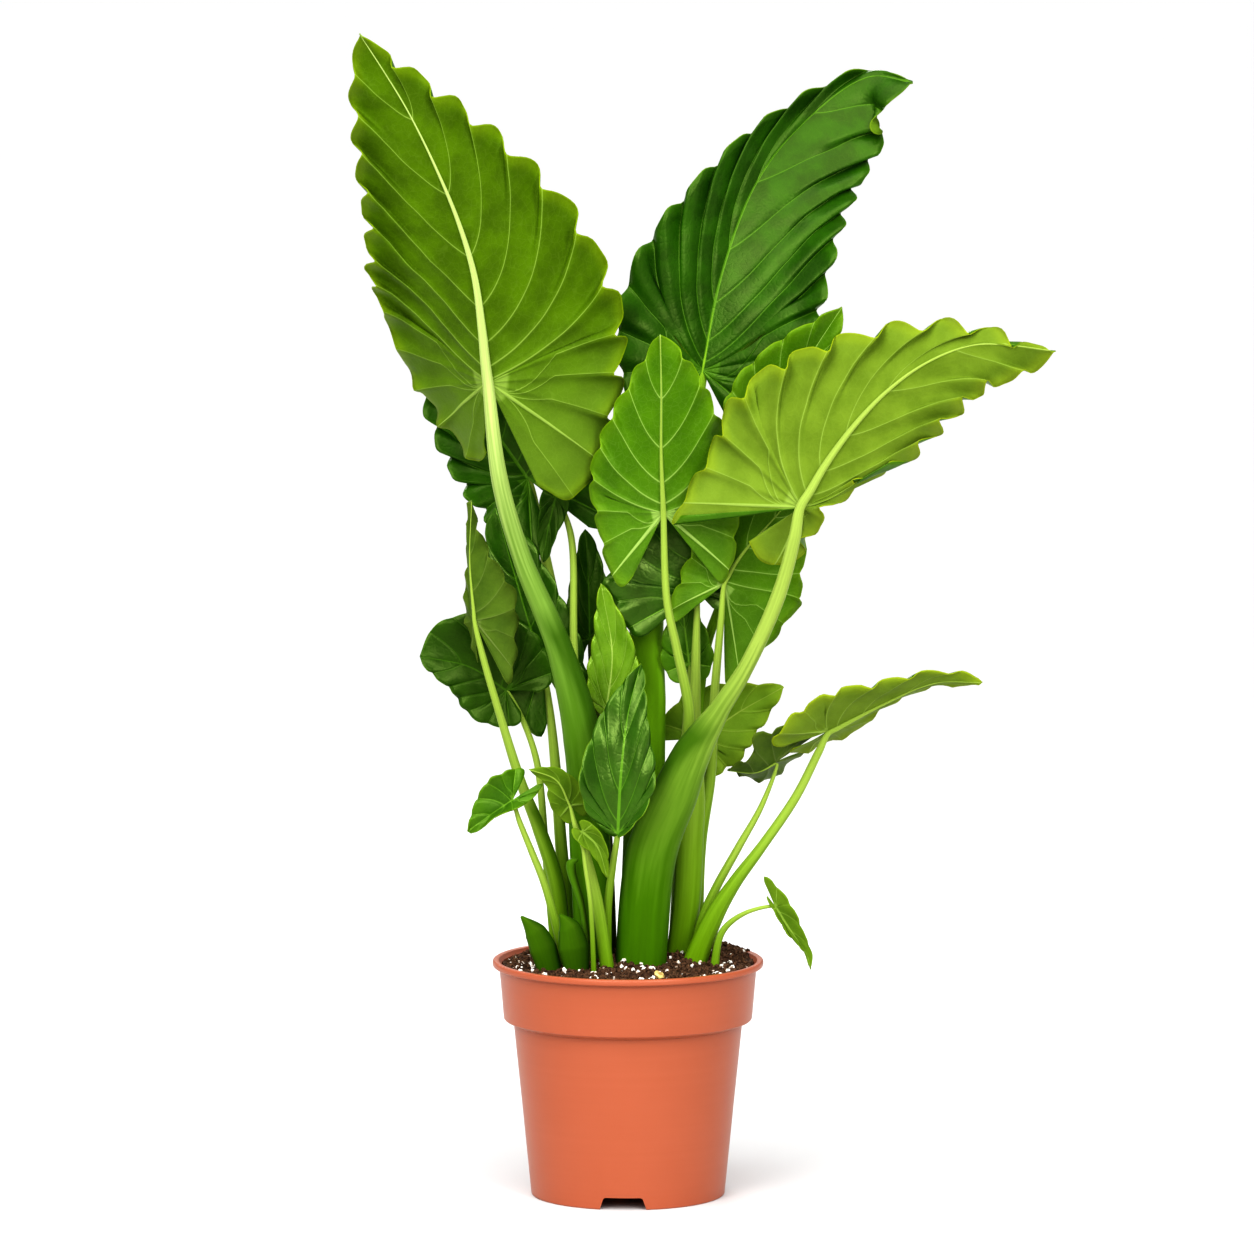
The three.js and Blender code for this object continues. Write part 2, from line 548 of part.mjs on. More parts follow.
function makePot() {
  const [footRadius, shoulder] = pot.bodyRadius;
  const [bandLow, bandHigh] = pot.bandRadius;
  const bead = pot.rimBead;
  const rim = pot.rimRadius;
  const shell = turned([
    [0, pot.floor],
    [footRadius - 7, pot.floor], [footRadius - 5, 0],
    [footRadius - 1.5, 0], [footRadius, 1.2], [footRadius + 0.6, pot.footRound],
    [shoulder, bodyTop], [bandLow - 0.8, bandFoot - 0.6], [bandLow, bandFoot + 0.8],
    [bandHigh, potTop - bead - 1.5], [rim - 1.2, potTop - bead],
    [rim, potTop - bead + 1.4], [rim, potTop - 1.6], [rim - 1.4, potTop],
    [rim - 4.6, potTop],
    ...inside.toReversed(),
    [0, pot.floor + pot.wall],
  ], pot.sides);
  let solid = toSolid(shell);

  const hub = new THREE.CylinderGeometry(pot.hubRadius, pot.hubRadius, pot.floor + 1, 24);
  hub.rotateX(Math.PI / 2).translate(0, 0, (pot.floor + 1) / 2);
  solid = solid.add(toSolid(hub));

  const ribLength = footRadius - 4;
  const ribTop = pot.floor + 1;
  for (let i = 0; i < pot.ribs; i += 1) {
    const rib = new THREE.BoxGeometry(ribLength, pot.ribWidth, ribTop - 3);
    rib.translate(ribLength / 2, 0, (ribTop + 3) / 2);
    rib.rotateZ(radians(pot.notchAngle + 360 * (i + 0.5) / pot.ribs));
    solid = solid.add(toSolid(rib));
  }

  const [wide, narrow] = pot.notchWidth.map((width) => width / 2);
  const notchShape = new THREE.Shape([
    new THREE.Vector2(-wide, -1), new THREE.Vector2(wide, -1),
    new THREE.Vector2(narrow, pot.notchHeight), new THREE.Vector2(-narrow, pot.notchHeight),
  ]);
  for (let i = 0; i < pot.notches; i += 1) {
    const notch = new THREE.ExtrudeGeometry(notchShape, { depth: 20, bevelEnabled: false });
    notch.rotateX(Math.PI / 2).translate(0, footRadius + 10, 0);
    notch.rotateZ(radians(pot.notchAngle - 90 + 360 * i / pot.notches));
    solid = solid.subtract(toSolid(notch));
  }

  for (let i = 0; i < pot.drainHoles; i += 1) {
    const hole = new THREE.CylinderGeometry(pot.drainRadius, pot.drainRadius, 12, 12);
    hole.rotateX(Math.PI / 2).translate(pot.drainCircle, 0, pot.floor);
    hole.rotateZ(radians(pot.notchAngle + 360 * i / pot.drainHoles));
    solid = solid.subtract(toSolid(hole));
  }
  return toGeometry(solid);
}

addPiece("pot", makePot(), "pot");

// ---------------------------------------------------------------- soil

// The height of the soil's rough top: gentle lumps, the mound round the stems and the heap by the rim.
function soilHeight(x, y) {
  const lumps = Math.sin(0.17 * x + 1.3) * Math.cos(0.15 * y) + 0.6 * Math.sin(0.31 * x - 0.23 * y);
  const [heapX, heapY] = soil.heapAt;
  const fromHeap = Math.hypot(x - heapX, y - heapY) / soil.heapWidth;
  const fromMiddle = Math.hypot(x, y) / soil.moundWidth;
  const raised = soil.mound * Math.exp(-fromMiddle * fromMiddle) + soil.heap * Math.exp(-fromHeap * fromHeap);
  return soil.level + soil.rough * lumps + raised;
}

function makeSoil() {
  const side = inside.slice(0, -1).map(([radius, height]) => [radius - clearance, height + clearance]);
  const rings = [1, 0.87, 0.72, 0.56, 0.4, 0.2, 0];
  const outer = inside.at(-1)[0] - clearance - 0.6;
  const body = turned([
    [0, side[0][1]], ...side, ...rings.map((share) => [outer * share, soil.level]),
  ], pot.sides);
  const place = body.attributes.position;
  for (let i = 0; i < place.count; i += 1) {
    if (place.getZ(i) === soil.level) place.setZ(i, soilHeight(place.getX(i), place.getY(i)));
  }
  return toGeometry(stemHoles.reduce((rest, hole) => rest.subtract(hole), toSolid(body)));
}

addPiece("soil", makeSoil(), "soil");

export default group;
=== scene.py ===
import math

import bpy
import numpy as np
from mathutils import Matrix, Vector


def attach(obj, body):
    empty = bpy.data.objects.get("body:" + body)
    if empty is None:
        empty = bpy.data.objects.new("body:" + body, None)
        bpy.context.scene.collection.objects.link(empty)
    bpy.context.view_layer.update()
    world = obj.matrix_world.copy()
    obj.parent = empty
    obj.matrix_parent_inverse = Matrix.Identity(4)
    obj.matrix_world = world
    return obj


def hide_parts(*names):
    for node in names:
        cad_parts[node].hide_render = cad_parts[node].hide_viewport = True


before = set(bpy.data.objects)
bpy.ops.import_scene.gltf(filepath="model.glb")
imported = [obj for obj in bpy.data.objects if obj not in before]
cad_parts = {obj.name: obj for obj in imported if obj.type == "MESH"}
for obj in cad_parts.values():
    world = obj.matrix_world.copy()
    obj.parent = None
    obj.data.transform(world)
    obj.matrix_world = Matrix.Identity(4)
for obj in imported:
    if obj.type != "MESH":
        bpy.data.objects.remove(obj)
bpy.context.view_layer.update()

# ---------- the studio
# A white floor that runs out of sight, a bright sky of soft light, and a camera far off and a little
# above the plant, with a long lens, as the photograph was taken.

view_middle = Vector((-0.0009, 0, 0.506))  # where the camera looks, halfway up the plant
camera_place = Vector((-0.0009, -7.0, 1.306))
lens_length = 229.4
sky_brightness = 0.38
paper_white = 0.62

def new_material(name, roughness, specular=0.5):
    """A material, its node tree and its main shader."""
    material = bpy.data.materials.new(name)
    material.use_nodes = True
    shader = material.node_tree.nodes["Principled BSDF"]
    shader.inputs["Roughness"].default_value = roughness
    shader.inputs["Specular IOR Level"].default_value = specular
    return material, material.node_tree, shader

bpy.ops.object.select_all(action="DESELECT")
bpy.ops.mesh.primitive_plane_add(size=160, location=(0, 40, 0))
floor = bpy.context.object
floor.name = "floor"
paper, _, paper_shader = new_material("white_paper", 0.9, 0.1)
paper_shader.inputs["Base Color"].default_value = (paper_white, paper_white, paper_white, 1)
floor.data.materials.append(paper)

sky = bpy.data.worlds.new("studio_sky")
bpy.context.scene.world = sky
sky.use_nodes = True
glow = sky.node_tree.nodes["Background"]
glow.inputs["Color"].default_value = (1, 1, 1, 1)
glow.inputs["Strength"].default_value = sky_brightness

bpy.ops.object.light_add(type="SUN", rotation=(math.radians(36), math.radians(-9), 0))
overhead = bpy.context.object
overhead.name = "overhead_light"
overhead.data.energy = 3.0
overhead.data.angle = math.radians(80)

def softbox(name, place, aim, width, height, watts):
    """A rectangular studio light that looks at a point."""
    bpy.ops.object.light_add(type="AREA", location=place)
    box = bpy.context.object
    box.name = name
    box.data.shape = "RECTANGLE"
    box.data.size = width
    box.data.size_y = height
    box.data.energy = watts
    box.rotation_euler = (Vector(aim) - Vector(place)).to_track_quat("-Z", "Y").to_euler()

softbox("left_softbox", (-1.3, -2.7, 1.9), (0, 0, 0.6), 1.0, 1.6, 25)
softbox("right_softbox", (1.4, -2.6, 1.6), (0, 0, 0.55), 0.8, 1.5, 30)
softbox("back_softbox", (-0.4, 2.2, 2.0), (0, 0, 0.7), 1.6, 1.0, 24)

bpy.ops.object.camera_add(location=camera_place)
camera = bpy.context.object
camera.name = "camera"
camera.data.sensor_width = 36
camera.data.lens = lens_length
camera.rotation_euler = (view_middle - camera_place).to_track_quat("-Z", "Y").to_euler()
bpy.context.scene.camera = camera
view = bpy.context.scene.view_settings
view.view_transform, view.look = "Standard", "High Contrast"

# ---------- pot
# A nursery pot of thin terracotta-orange plastic, injection moulded in one piece: a rolled bead at
# the rim, a deep band, a tapering body, and a raised floor with ribs, drain holes and three notches.

pot_sides = 144
pot_floor = 0.014
first_notch = -93  # degrees round from +X, so that one notch faces the camera
rib_reach, rib_width, rib_height, rib_middle = 0.082, 0.005, 0.012, 0.009
hub_radius, hub_height = 0.016, 0.015
drain_radius, drain_ring, drain_depth = 0.006, 0.058, 0.012
notch_place = (0.086, 0, 0.005)
notch_half_deep, notch_half_wide, notch_flare, notch_height = 0.020, 0.017, 0.021, 0.006
pot_outline = [  # radius, height: from the foot up the outside, over the bead and down the inside
    (0.0812, 0), (0.0848, 0), (0.0858, 0.0008), (0.0862, 0.004), (0.0938, 0.080),
    (0.1014, 0.1538), (0.1092, 0.1570), (0.1100, 0.1580), (0.1102, 0.1600), (0.1121, 0.1820),
    (0.1139, 0.2022), (0.1143, 0.2034), (0.1186, 0.2042), (0.1196, 0.2050), (0.1200, 0.2062),
    (0.1200, 0.2080), (0.1196, 0.2092), (0.1186, 0.2100), (0.1156, 0.2100), (0.1144, 0.2094),
    (0.1134, 0.2076), (0.1120, 0.2060), (0.1082, 0.1592), (0.0996, 0.1550), (0.0855, 0.0160),
]

def noise(tree, place, scale, detail=2.0, roughness=0.5):
    """Soft patches of 0 to 1, strewn at random."""
    node = tree.nodes.new("ShaderNodeTexNoise")
    for title, number in (("Scale", scale), ("Detail", detail), ("Roughness", roughness)):
        node.inputs[title].default_value = number
    tree.links.new(place, node.inputs["Vector"])
    return node.outputs["Fac"]

def colour_ramp(tree, share, *stops):
    """Colours that pass into each other as a share rises, each with the share where it stands."""
    node = tree.nodes.new("ShaderNodeValToRGB")
    for _ in stops[2:]:
        node.color_ramp.elements.new(0.5)
    for stop, (place, colour) in zip(node.color_ramp.elements, stops):
        stop.position = place
        stop.color = (*colour, 1)
    tree.links.new(share, node.inputs["Fac"])
    return node.outputs["Color"]

def add_relief(tree, shader, height, strength, distance):
    """Lets a height show as fine relief on a surface."""
    bump = tree.nodes.new("ShaderNodeBump")
    bump.inputs["Strength"].default_value = strength
    bump.inputs["Distance"].default_value = distance
    tree.links.new(height, bump.inputs["Height"])
    tree.links.new(bump.outputs["Normal"], shader.inputs["Normal"])

def plastic_material():
    """Satin moulded plastic: an even terracotta orange with a fine grain and faint ring marks."""
    material, tree, shader = new_material("pot_plastic", 0.36)
    join = tree.links.new
    shader.inputs["Specular Tint"].default_value = (1.0, 0.84, 0.76, 1)
    shader.inputs["Subsurface Weight"].default_value = 0.04
    shader.inputs["Subsurface Radius"].default_value = (0.006, 0.002, 0.001)
    place = tree.nodes.new("ShaderNodeTexCoord").outputs["Object"]
    flattened = tree.nodes.new("ShaderNodeMapping")
    flattened.inputs["Scale"].default_value = (6, 6, 260)
    join(place, flattened.inputs["Vector"])
    blend = tree.nodes.new("ShaderNodeMix")
    blend.data_type = "FLOAT"
    blend.inputs["Factor"].default_value = 0.6
    join(noise(tree, flattened.outputs["Vector"], 1.0, detail=3.0), blend.inputs[2])
    join(noise(tree, place, 14.0), blend.inputs[3])
    orange = colour_ramp(tree, blend.outputs[0], (0.3, (0.360, 0.094, 0.041)), (0.7, (0.380, 0.102, 0.047)))
    join(orange, shader.inputs["Base Color"])
    add_relief(tree, shader, noise(tree, place, 1400.0), 0.12, 0.0004)
    return material

def close_shell():
    """Turns every face of the closed shell in edit mode outward, and leaves edit mode."""
    bpy.ops.mesh.select_all(action="SELECT")
    bpy.ops.mesh.normals_make_consistent(inside=False)
    bpy.ops.object.mode_set(mode="OBJECT")

bpy.ops.object.select_all(action="DESELECT")
bpy.ops.mesh.primitive_circle_add(vertices=pot_sides, radius=pot_outline[0][0])
pot = bpy.context.object
pot.name = "nursery_pot"
bpy.ops.object.mode_set(mode="EDIT")
bpy.ops.mesh.select_all(action="SELECT")
for (before, low), (radius, height) in zip(pot_outline, pot_outline[1:]):
    bpy.ops.mesh.extrude_region_move(TRANSFORM_OT_translate={"value": (0, 0, height - low)})
    bpy.ops.transform.resize(value=(radius / before, radius / before, 1), center_override=(0, 0, height))
bpy.ops.mesh.edge_face_add()
bpy.ops.mesh.select_all(action="DESELECT")
bpy.ops.object.mode_set(mode="OBJECT")
for vertex in pot.data.vertices:
    vertex.select = vertex.co.z < 1e-5 and math.hypot(vertex.co.x, vertex.co.y) < pot_outline[0][0] + 1e-5
bpy.ops.object.mode_set(mode="EDIT")
bpy.ops.mesh.select_mode(type="VERT")
bpy.ops.mesh.extrude_region_move(TRANSFORM_OT_translate={"value": (0, 0, pot_floor)})
bpy.ops.transform.resize(value=(0.975, 0.975, 1), center_override=(0, 0, pot_floor))
bpy.ops.mesh.edge_face_add()
close_shell()

def pot_cut(tool, operation):
    """Cuts or joins a helper shape with the pot, and takes the helper away."""
    bpy.ops.object.select_all(action="DESELECT")
    bpy.context.view_layer.objects.active = pot
    change = pot.modifiers.new("change", "BOOLEAN")
    change.operation = operation
    change.solver = "EXACT"
    change.object = tool
    bpy.ops.object.modifier_apply(modifier="change")
    bpy.data.objects.remove(tool)

def pot_cylinder(vertices, radius, depth, place, operation):
    """Cuts an upright cylinder out of the pot, or joins it to the pot."""
    bpy.ops.object.select_all(action="DESELECT")
    bpy.ops.mesh.primitive_cylinder_add(vertices=vertices, radius=radius, depth=depth, location=place)
    bpy.ops.object.transform_apply(location=True)
    pot_cut(bpy.context.object, operation)

def on_ring(radius, degrees, height):
    """A place on a level ring round the pot's axis."""
    turn = math.radians(first_notch + degrees)
    return radius * math.cos(turn), radius * math.sin(turn), height

for i in range(6):
    bpy.ops.object.select_all(action="DESELECT")
    bpy.ops.mesh.primitive_cube_add(size=1, location=on_ring(rib_reach / 2, 60 * (i + 0.5), rib_middle),
                                    rotation=(0, 0, math.radians(first_notch + 60 * (i + 0.5))))
    rib = bpy.context.object
    rib.scale = (rib_reach, rib_width, rib_height)
    bpy.ops.object.transform_apply(location=True, rotation=True, scale=True)
    pot_cut(rib, "UNION")
pot_cylinder(48, hub_radius, hub_height, (0, 0, hub_height / 2), "UNION")
for i in range(6):
    pot_cylinder(24, drain_radius, drain_depth, on_ring(drain_ring, 60 * i, pot_floor), "DIFFERENCE")
for i in range(3):
    bpy.ops.object.select_all(action="DESELECT")
    bpy.ops.mesh.primitive_cube_add(size=1, location=notch_place)
    notch = bpy.context.object
    for corner in notch.data.vertices:
        high = corner.co.z > 0
        half_wide = notch_half_wide if high else notch_flare
        corner.co = (math.copysign(notch_half_deep, corner.co.x), math.copysign(half_wide, corner.co.y),
                     notch_height if high else -notch_height)
    bpy.ops.object.transform_apply(location=True)
    bpy.ops.object.mode_set(mode="EDIT")
    bpy.ops.mesh.select_all(action="SELECT")
    bpy.ops.mesh.bevel(offset=0.002, segments=3, affect="EDGES")
    bpy.ops.object.mode_set(mode="OBJECT")
    notch.data.transform(Matrix.Rotation(math.radians(first_notch + 120 * i), 4, "Z"))
    pot_cut(notch, "DIFFERENCE")

bpy.ops.object.select_all(action="DESELECT")
pot.select_set(True)
bpy.context.view_layer.objects.active = pot
bpy.ops.object.shade_smooth_by_angle(angle=math.radians(32))
pot.data.materials.append(plastic_material())
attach(pot, "root")
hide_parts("pot")

# ---------- soil
# Damp dark peat that fills the pot to just below the rim, with a mound against the right of the rim,
# crumbs lying loose on it, white grains of perlite, and one yellow chip of stem at the front.

soil_level, soil_reach = 0.2045, 0.1108  # height of its surface, and its radius there
soil_half = 75  # facets from its middle to the wall
soil_outline = [(0.0862, 0.0168), (0.0990, 0.1556), (0.1078, 0.1600)]  # radius, height, up to the top
heap_place, heap_height, heap_width = (0.076, 0.034), 0.012, 0.032
mound_height, mound_width = 0.009, 0.070

def wavy(x, y, scale, seed):
    """Smooth unevenness between about -1 and 1, from a few crossed waves."""
    total = 0
    for i in range(5):
        turn = 2.4 * i + seed
        ahead = x * math.cos(turn) + y * math.sin(turn)
        total = total + np.sin(ahead * scale * (1 + 0.37 * i) + 1.7 * i * seed)
    return total / 3.2

def soil_height(x, y):
    """Height of the peat's surface in metres: gentle lumps, crumbs, the mound and the heap."""
    lumps = 0.0016 * (np.sin(170 * x + 1.3) * np.cos(150 * y) + 0.6 * np.sin(310 * x - 230 * y))
    crumbs = 0.0009 * wavy(x, y, 520, 1.1) + 0.0006 * wavy(x, y, 1300, 2.3)
    away = np.hypot(x - heap_place[0], y - heap_place[1]) / heap_width
    raised = mound_height * np.exp(-(np.hypot(x, y) / mound_width) ** 2) + heap_height * np.exp(-away * away)
    return soil_level + lumps + crumbs + raised

def new_grid(name, columns, rows):
    """A flat grid as a new piece, with the row and the column of each corner, from its lowest left one."""
    bpy.ops.object.select_all(action="DESELECT")
    bpy.ops.mesh.primitive_grid_add(x_subdivisions=columns, y_subdivisions=rows, size=2)
    piece = bpy.context.object
    piece.name = name
    flat = np.zeros(len(piece.data.vertices) * 3)
    piece.data.vertices.foreach_get("co", flat)
    flat = flat.reshape(-1, 3).round(5)
    column, row = (np.searchsorted(np.unique(flat[:, axis]), flat[:, axis] - 1e-6) for axis in (0, 1))
    return piece, row, column

soil, row, column = new_grid("peat", 2 * soil_half, 2 * soil_half)
x, y = column / soil_half - 1, row / soil_half - 1
round_off = soil_reach * np.maximum(np.abs(x), np.abs(y)) / np.maximum(np.hypot(x, y), 1e-9)
x, y = x * round_off, y * round_off
soil.data.vertices.foreach_set("co", np.stack([x, y, soil_height(x, y)], 1).ravel())
soil.data.update()
bpy.ops.object.mode_set(mode="EDIT")
bpy.ops.mesh.select_all(action="DESELECT")
bpy.ops.mesh.select_mode(type="EDGE")
bpy.ops.mesh.select_non_manifold()
reach, level = soil_reach, soil_level
for radius, height in reversed(soil_outline):
    bpy.ops.mesh.extrude_region_move(TRANSFORM_OT_translate={"value": (0, 0, height - level)})
    bpy.ops.transform.resize(value=(radius / reach, radius / reach, 0 if level == soil_level else 1),
                             center_override=(0, 0, height))
    reach, level = radius, height
bpy.ops.mesh.edge_face_add()
close_shell()
bpy.ops.object.shade_smooth()

def peat_material(name, dark, light, scale):
    """Damp peat: dark brown crumbs in several browns, with a rough, broken surface."""
    material, tree, shader = new_material(name, 0.88, 0.2)
    place = tree.nodes.new("ShaderNodeTexCoord").outputs["Object"]
    browns = colour_ramp(tree, noise(tree, place, scale, 6.0, 0.7), (0.36, dark), (0.68, light))
    tree.links.new(browns, shader.inputs["Base Color"])
    crumbs = tree.nodes.new("ShaderNodeTexVoronoi")
    crumbs.inputs["Scale"].default_value = scale * 2.4
    tree.links.new(place, crumbs.inputs["Vector"])
    add_relief(tree, shader, crumbs.outputs["Distance"], 0.8, 0.0012)
    return material

soil.data.materials.append(peat_material("peat", (0.020, 0.010, 0.006), (0.120, 0.062, 0.032), 260))
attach(soil, "root")
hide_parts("soil")

def strewn(name, places, sizes, seed, faces):
    """Copies of one broken crumb, each turned, squeezed and placed on its own, in one mesh."""
    bpy.ops.object.select_all(action="DESELECT")
    bpy.ops.mesh.primitive_ico_sphere_add(subdivisions=faces, radius=1)
    crumb = bpy.context.object
    ball = np.array([vertex.co for vertex in crumb.data.vertices])
    corners = np.array([face.vertices for face in crumb.data.polygons])
    bpy.data.objects.remove(crumb)
    draw = np.random.default_rng(seed)
    points, polygons = [], []
    for i, (place, size) in enumerate(zip(places, sizes)):
        turn, _ = np.linalg.qr(draw.normal(size=(3, 3)))
        if np.linalg.det(turn) < 0:
            turn[:, 0] *= -1
        dents = 1 + 0.22 * draw.normal(size=(len(ball), 1)).clip(-1.5, 1.5)
        shape = (ball * dents * draw.uniform(0.55, 1.0, 3)) @ turn.T * size
        points.append(shape + place)
        polygons.append(corners + i * len(ball))
    mesh = bpy.data.meshes.new(name)
    mesh.from_pydata(np.vstack(points).tolist(), [], np.vstack(polygons).tolist())
    piece = bpy.data.objects.new(name, mesh)
    bpy.context.collection.objects.link(piece)
    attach(piece, "root")
    return piece

def on_soil(count, seed, sink, size, heap_share=0.0):
    """Places on the peat's surface, drawn at random, and a size for each."""
    draw = np.random.default_rng(seed)
    reach = soil_reach * 0.965 * np.sqrt(draw.uniform(0, 1, count))
    turn = draw.uniform(0, 2 * math.pi, count)
    x, y = reach * np.cos(turn), reach * np.sin(turn)
    heaped = draw.uniform(0, 1, count) < heap_share
    x = np.where(heaped, heap_place[0] + draw.normal(0, heap_width / 2, count), x)
    y = np.where(heaped, heap_place[1] + draw.normal(0, heap_width / 2, count), y)
    too_far = np.hypot(x, y) > soil_reach * 0.97  # against the wall, or beyond it
    x, y = np.where(too_far, x * 0.85, x), np.where(too_far, y * 0.85, y)
    sizes = size * draw.uniform(0.5, 1.0, count) ** 1.5
    return np.stack([x, y, soil_height(x, y) + sizes * sink], 1), sizes

crumb_places, crumb_sizes = on_soil(count=2600, seed=5, sink=0.2, size=0.0034, heap_share=0.14)
crumbs = strewn("peat_crumbs", crumb_places, crumb_sizes, seed=11, faces=1)
crumbs.data.materials.append(peat_material("peat_crumb", (0.026, 0.013, 0.008), (0.19, 0.10, 0.052), 420))

def mottled_material(name, roughness, scale, *stops):
    """A dull material in soft patches of two colours."""
    material, tree, shader = new_material(name, roughness)
    patches = noise(tree, tree.nodes.new("ShaderNodeTexCoord").outputs["Object"], scale)
    tree.links.new(colour_ramp(tree, patches, *stops), shader.inputs["Base Color"])
    return material

perlite_places, perlite_sizes = on_soil(count=320, seed=8, sink=0.4, size=0.0028)
perlite = strewn("perlite", perlite_places, perlite_sizes, seed=12, faces=2)
perlite.data.materials.append(mottled_material("perlite", 0.8, 240.0, (0.35, (0.52, 0.4, 0.3)),
                                               (0.52, (0.86, 0.83, 0.78))))

chip_x, chip_y, chip_lift, chip_size = 0.028, -0.086, 0.003, 0.0062
chip_place = np.array([[chip_x, chip_y, float(soil_height(chip_x, chip_y)) + chip_lift]])
chip = strewn("stem_chip", chip_place, [chip_size], seed=21, faces=2)
chip.data.materials.append(mottled_material("stem_chip", 0.7, 320.0, (0, (0.5, 0.3, 0.08)),
                                            (1, (0.85, 0.7, 0.28))))

# ---------- leaf blades
# Thin living blades, glossy and dark above, matt and yellower below. Side veins run from the midrib to
# the margin, sunk above and raised below; the blade bulges between them and its margin waves.

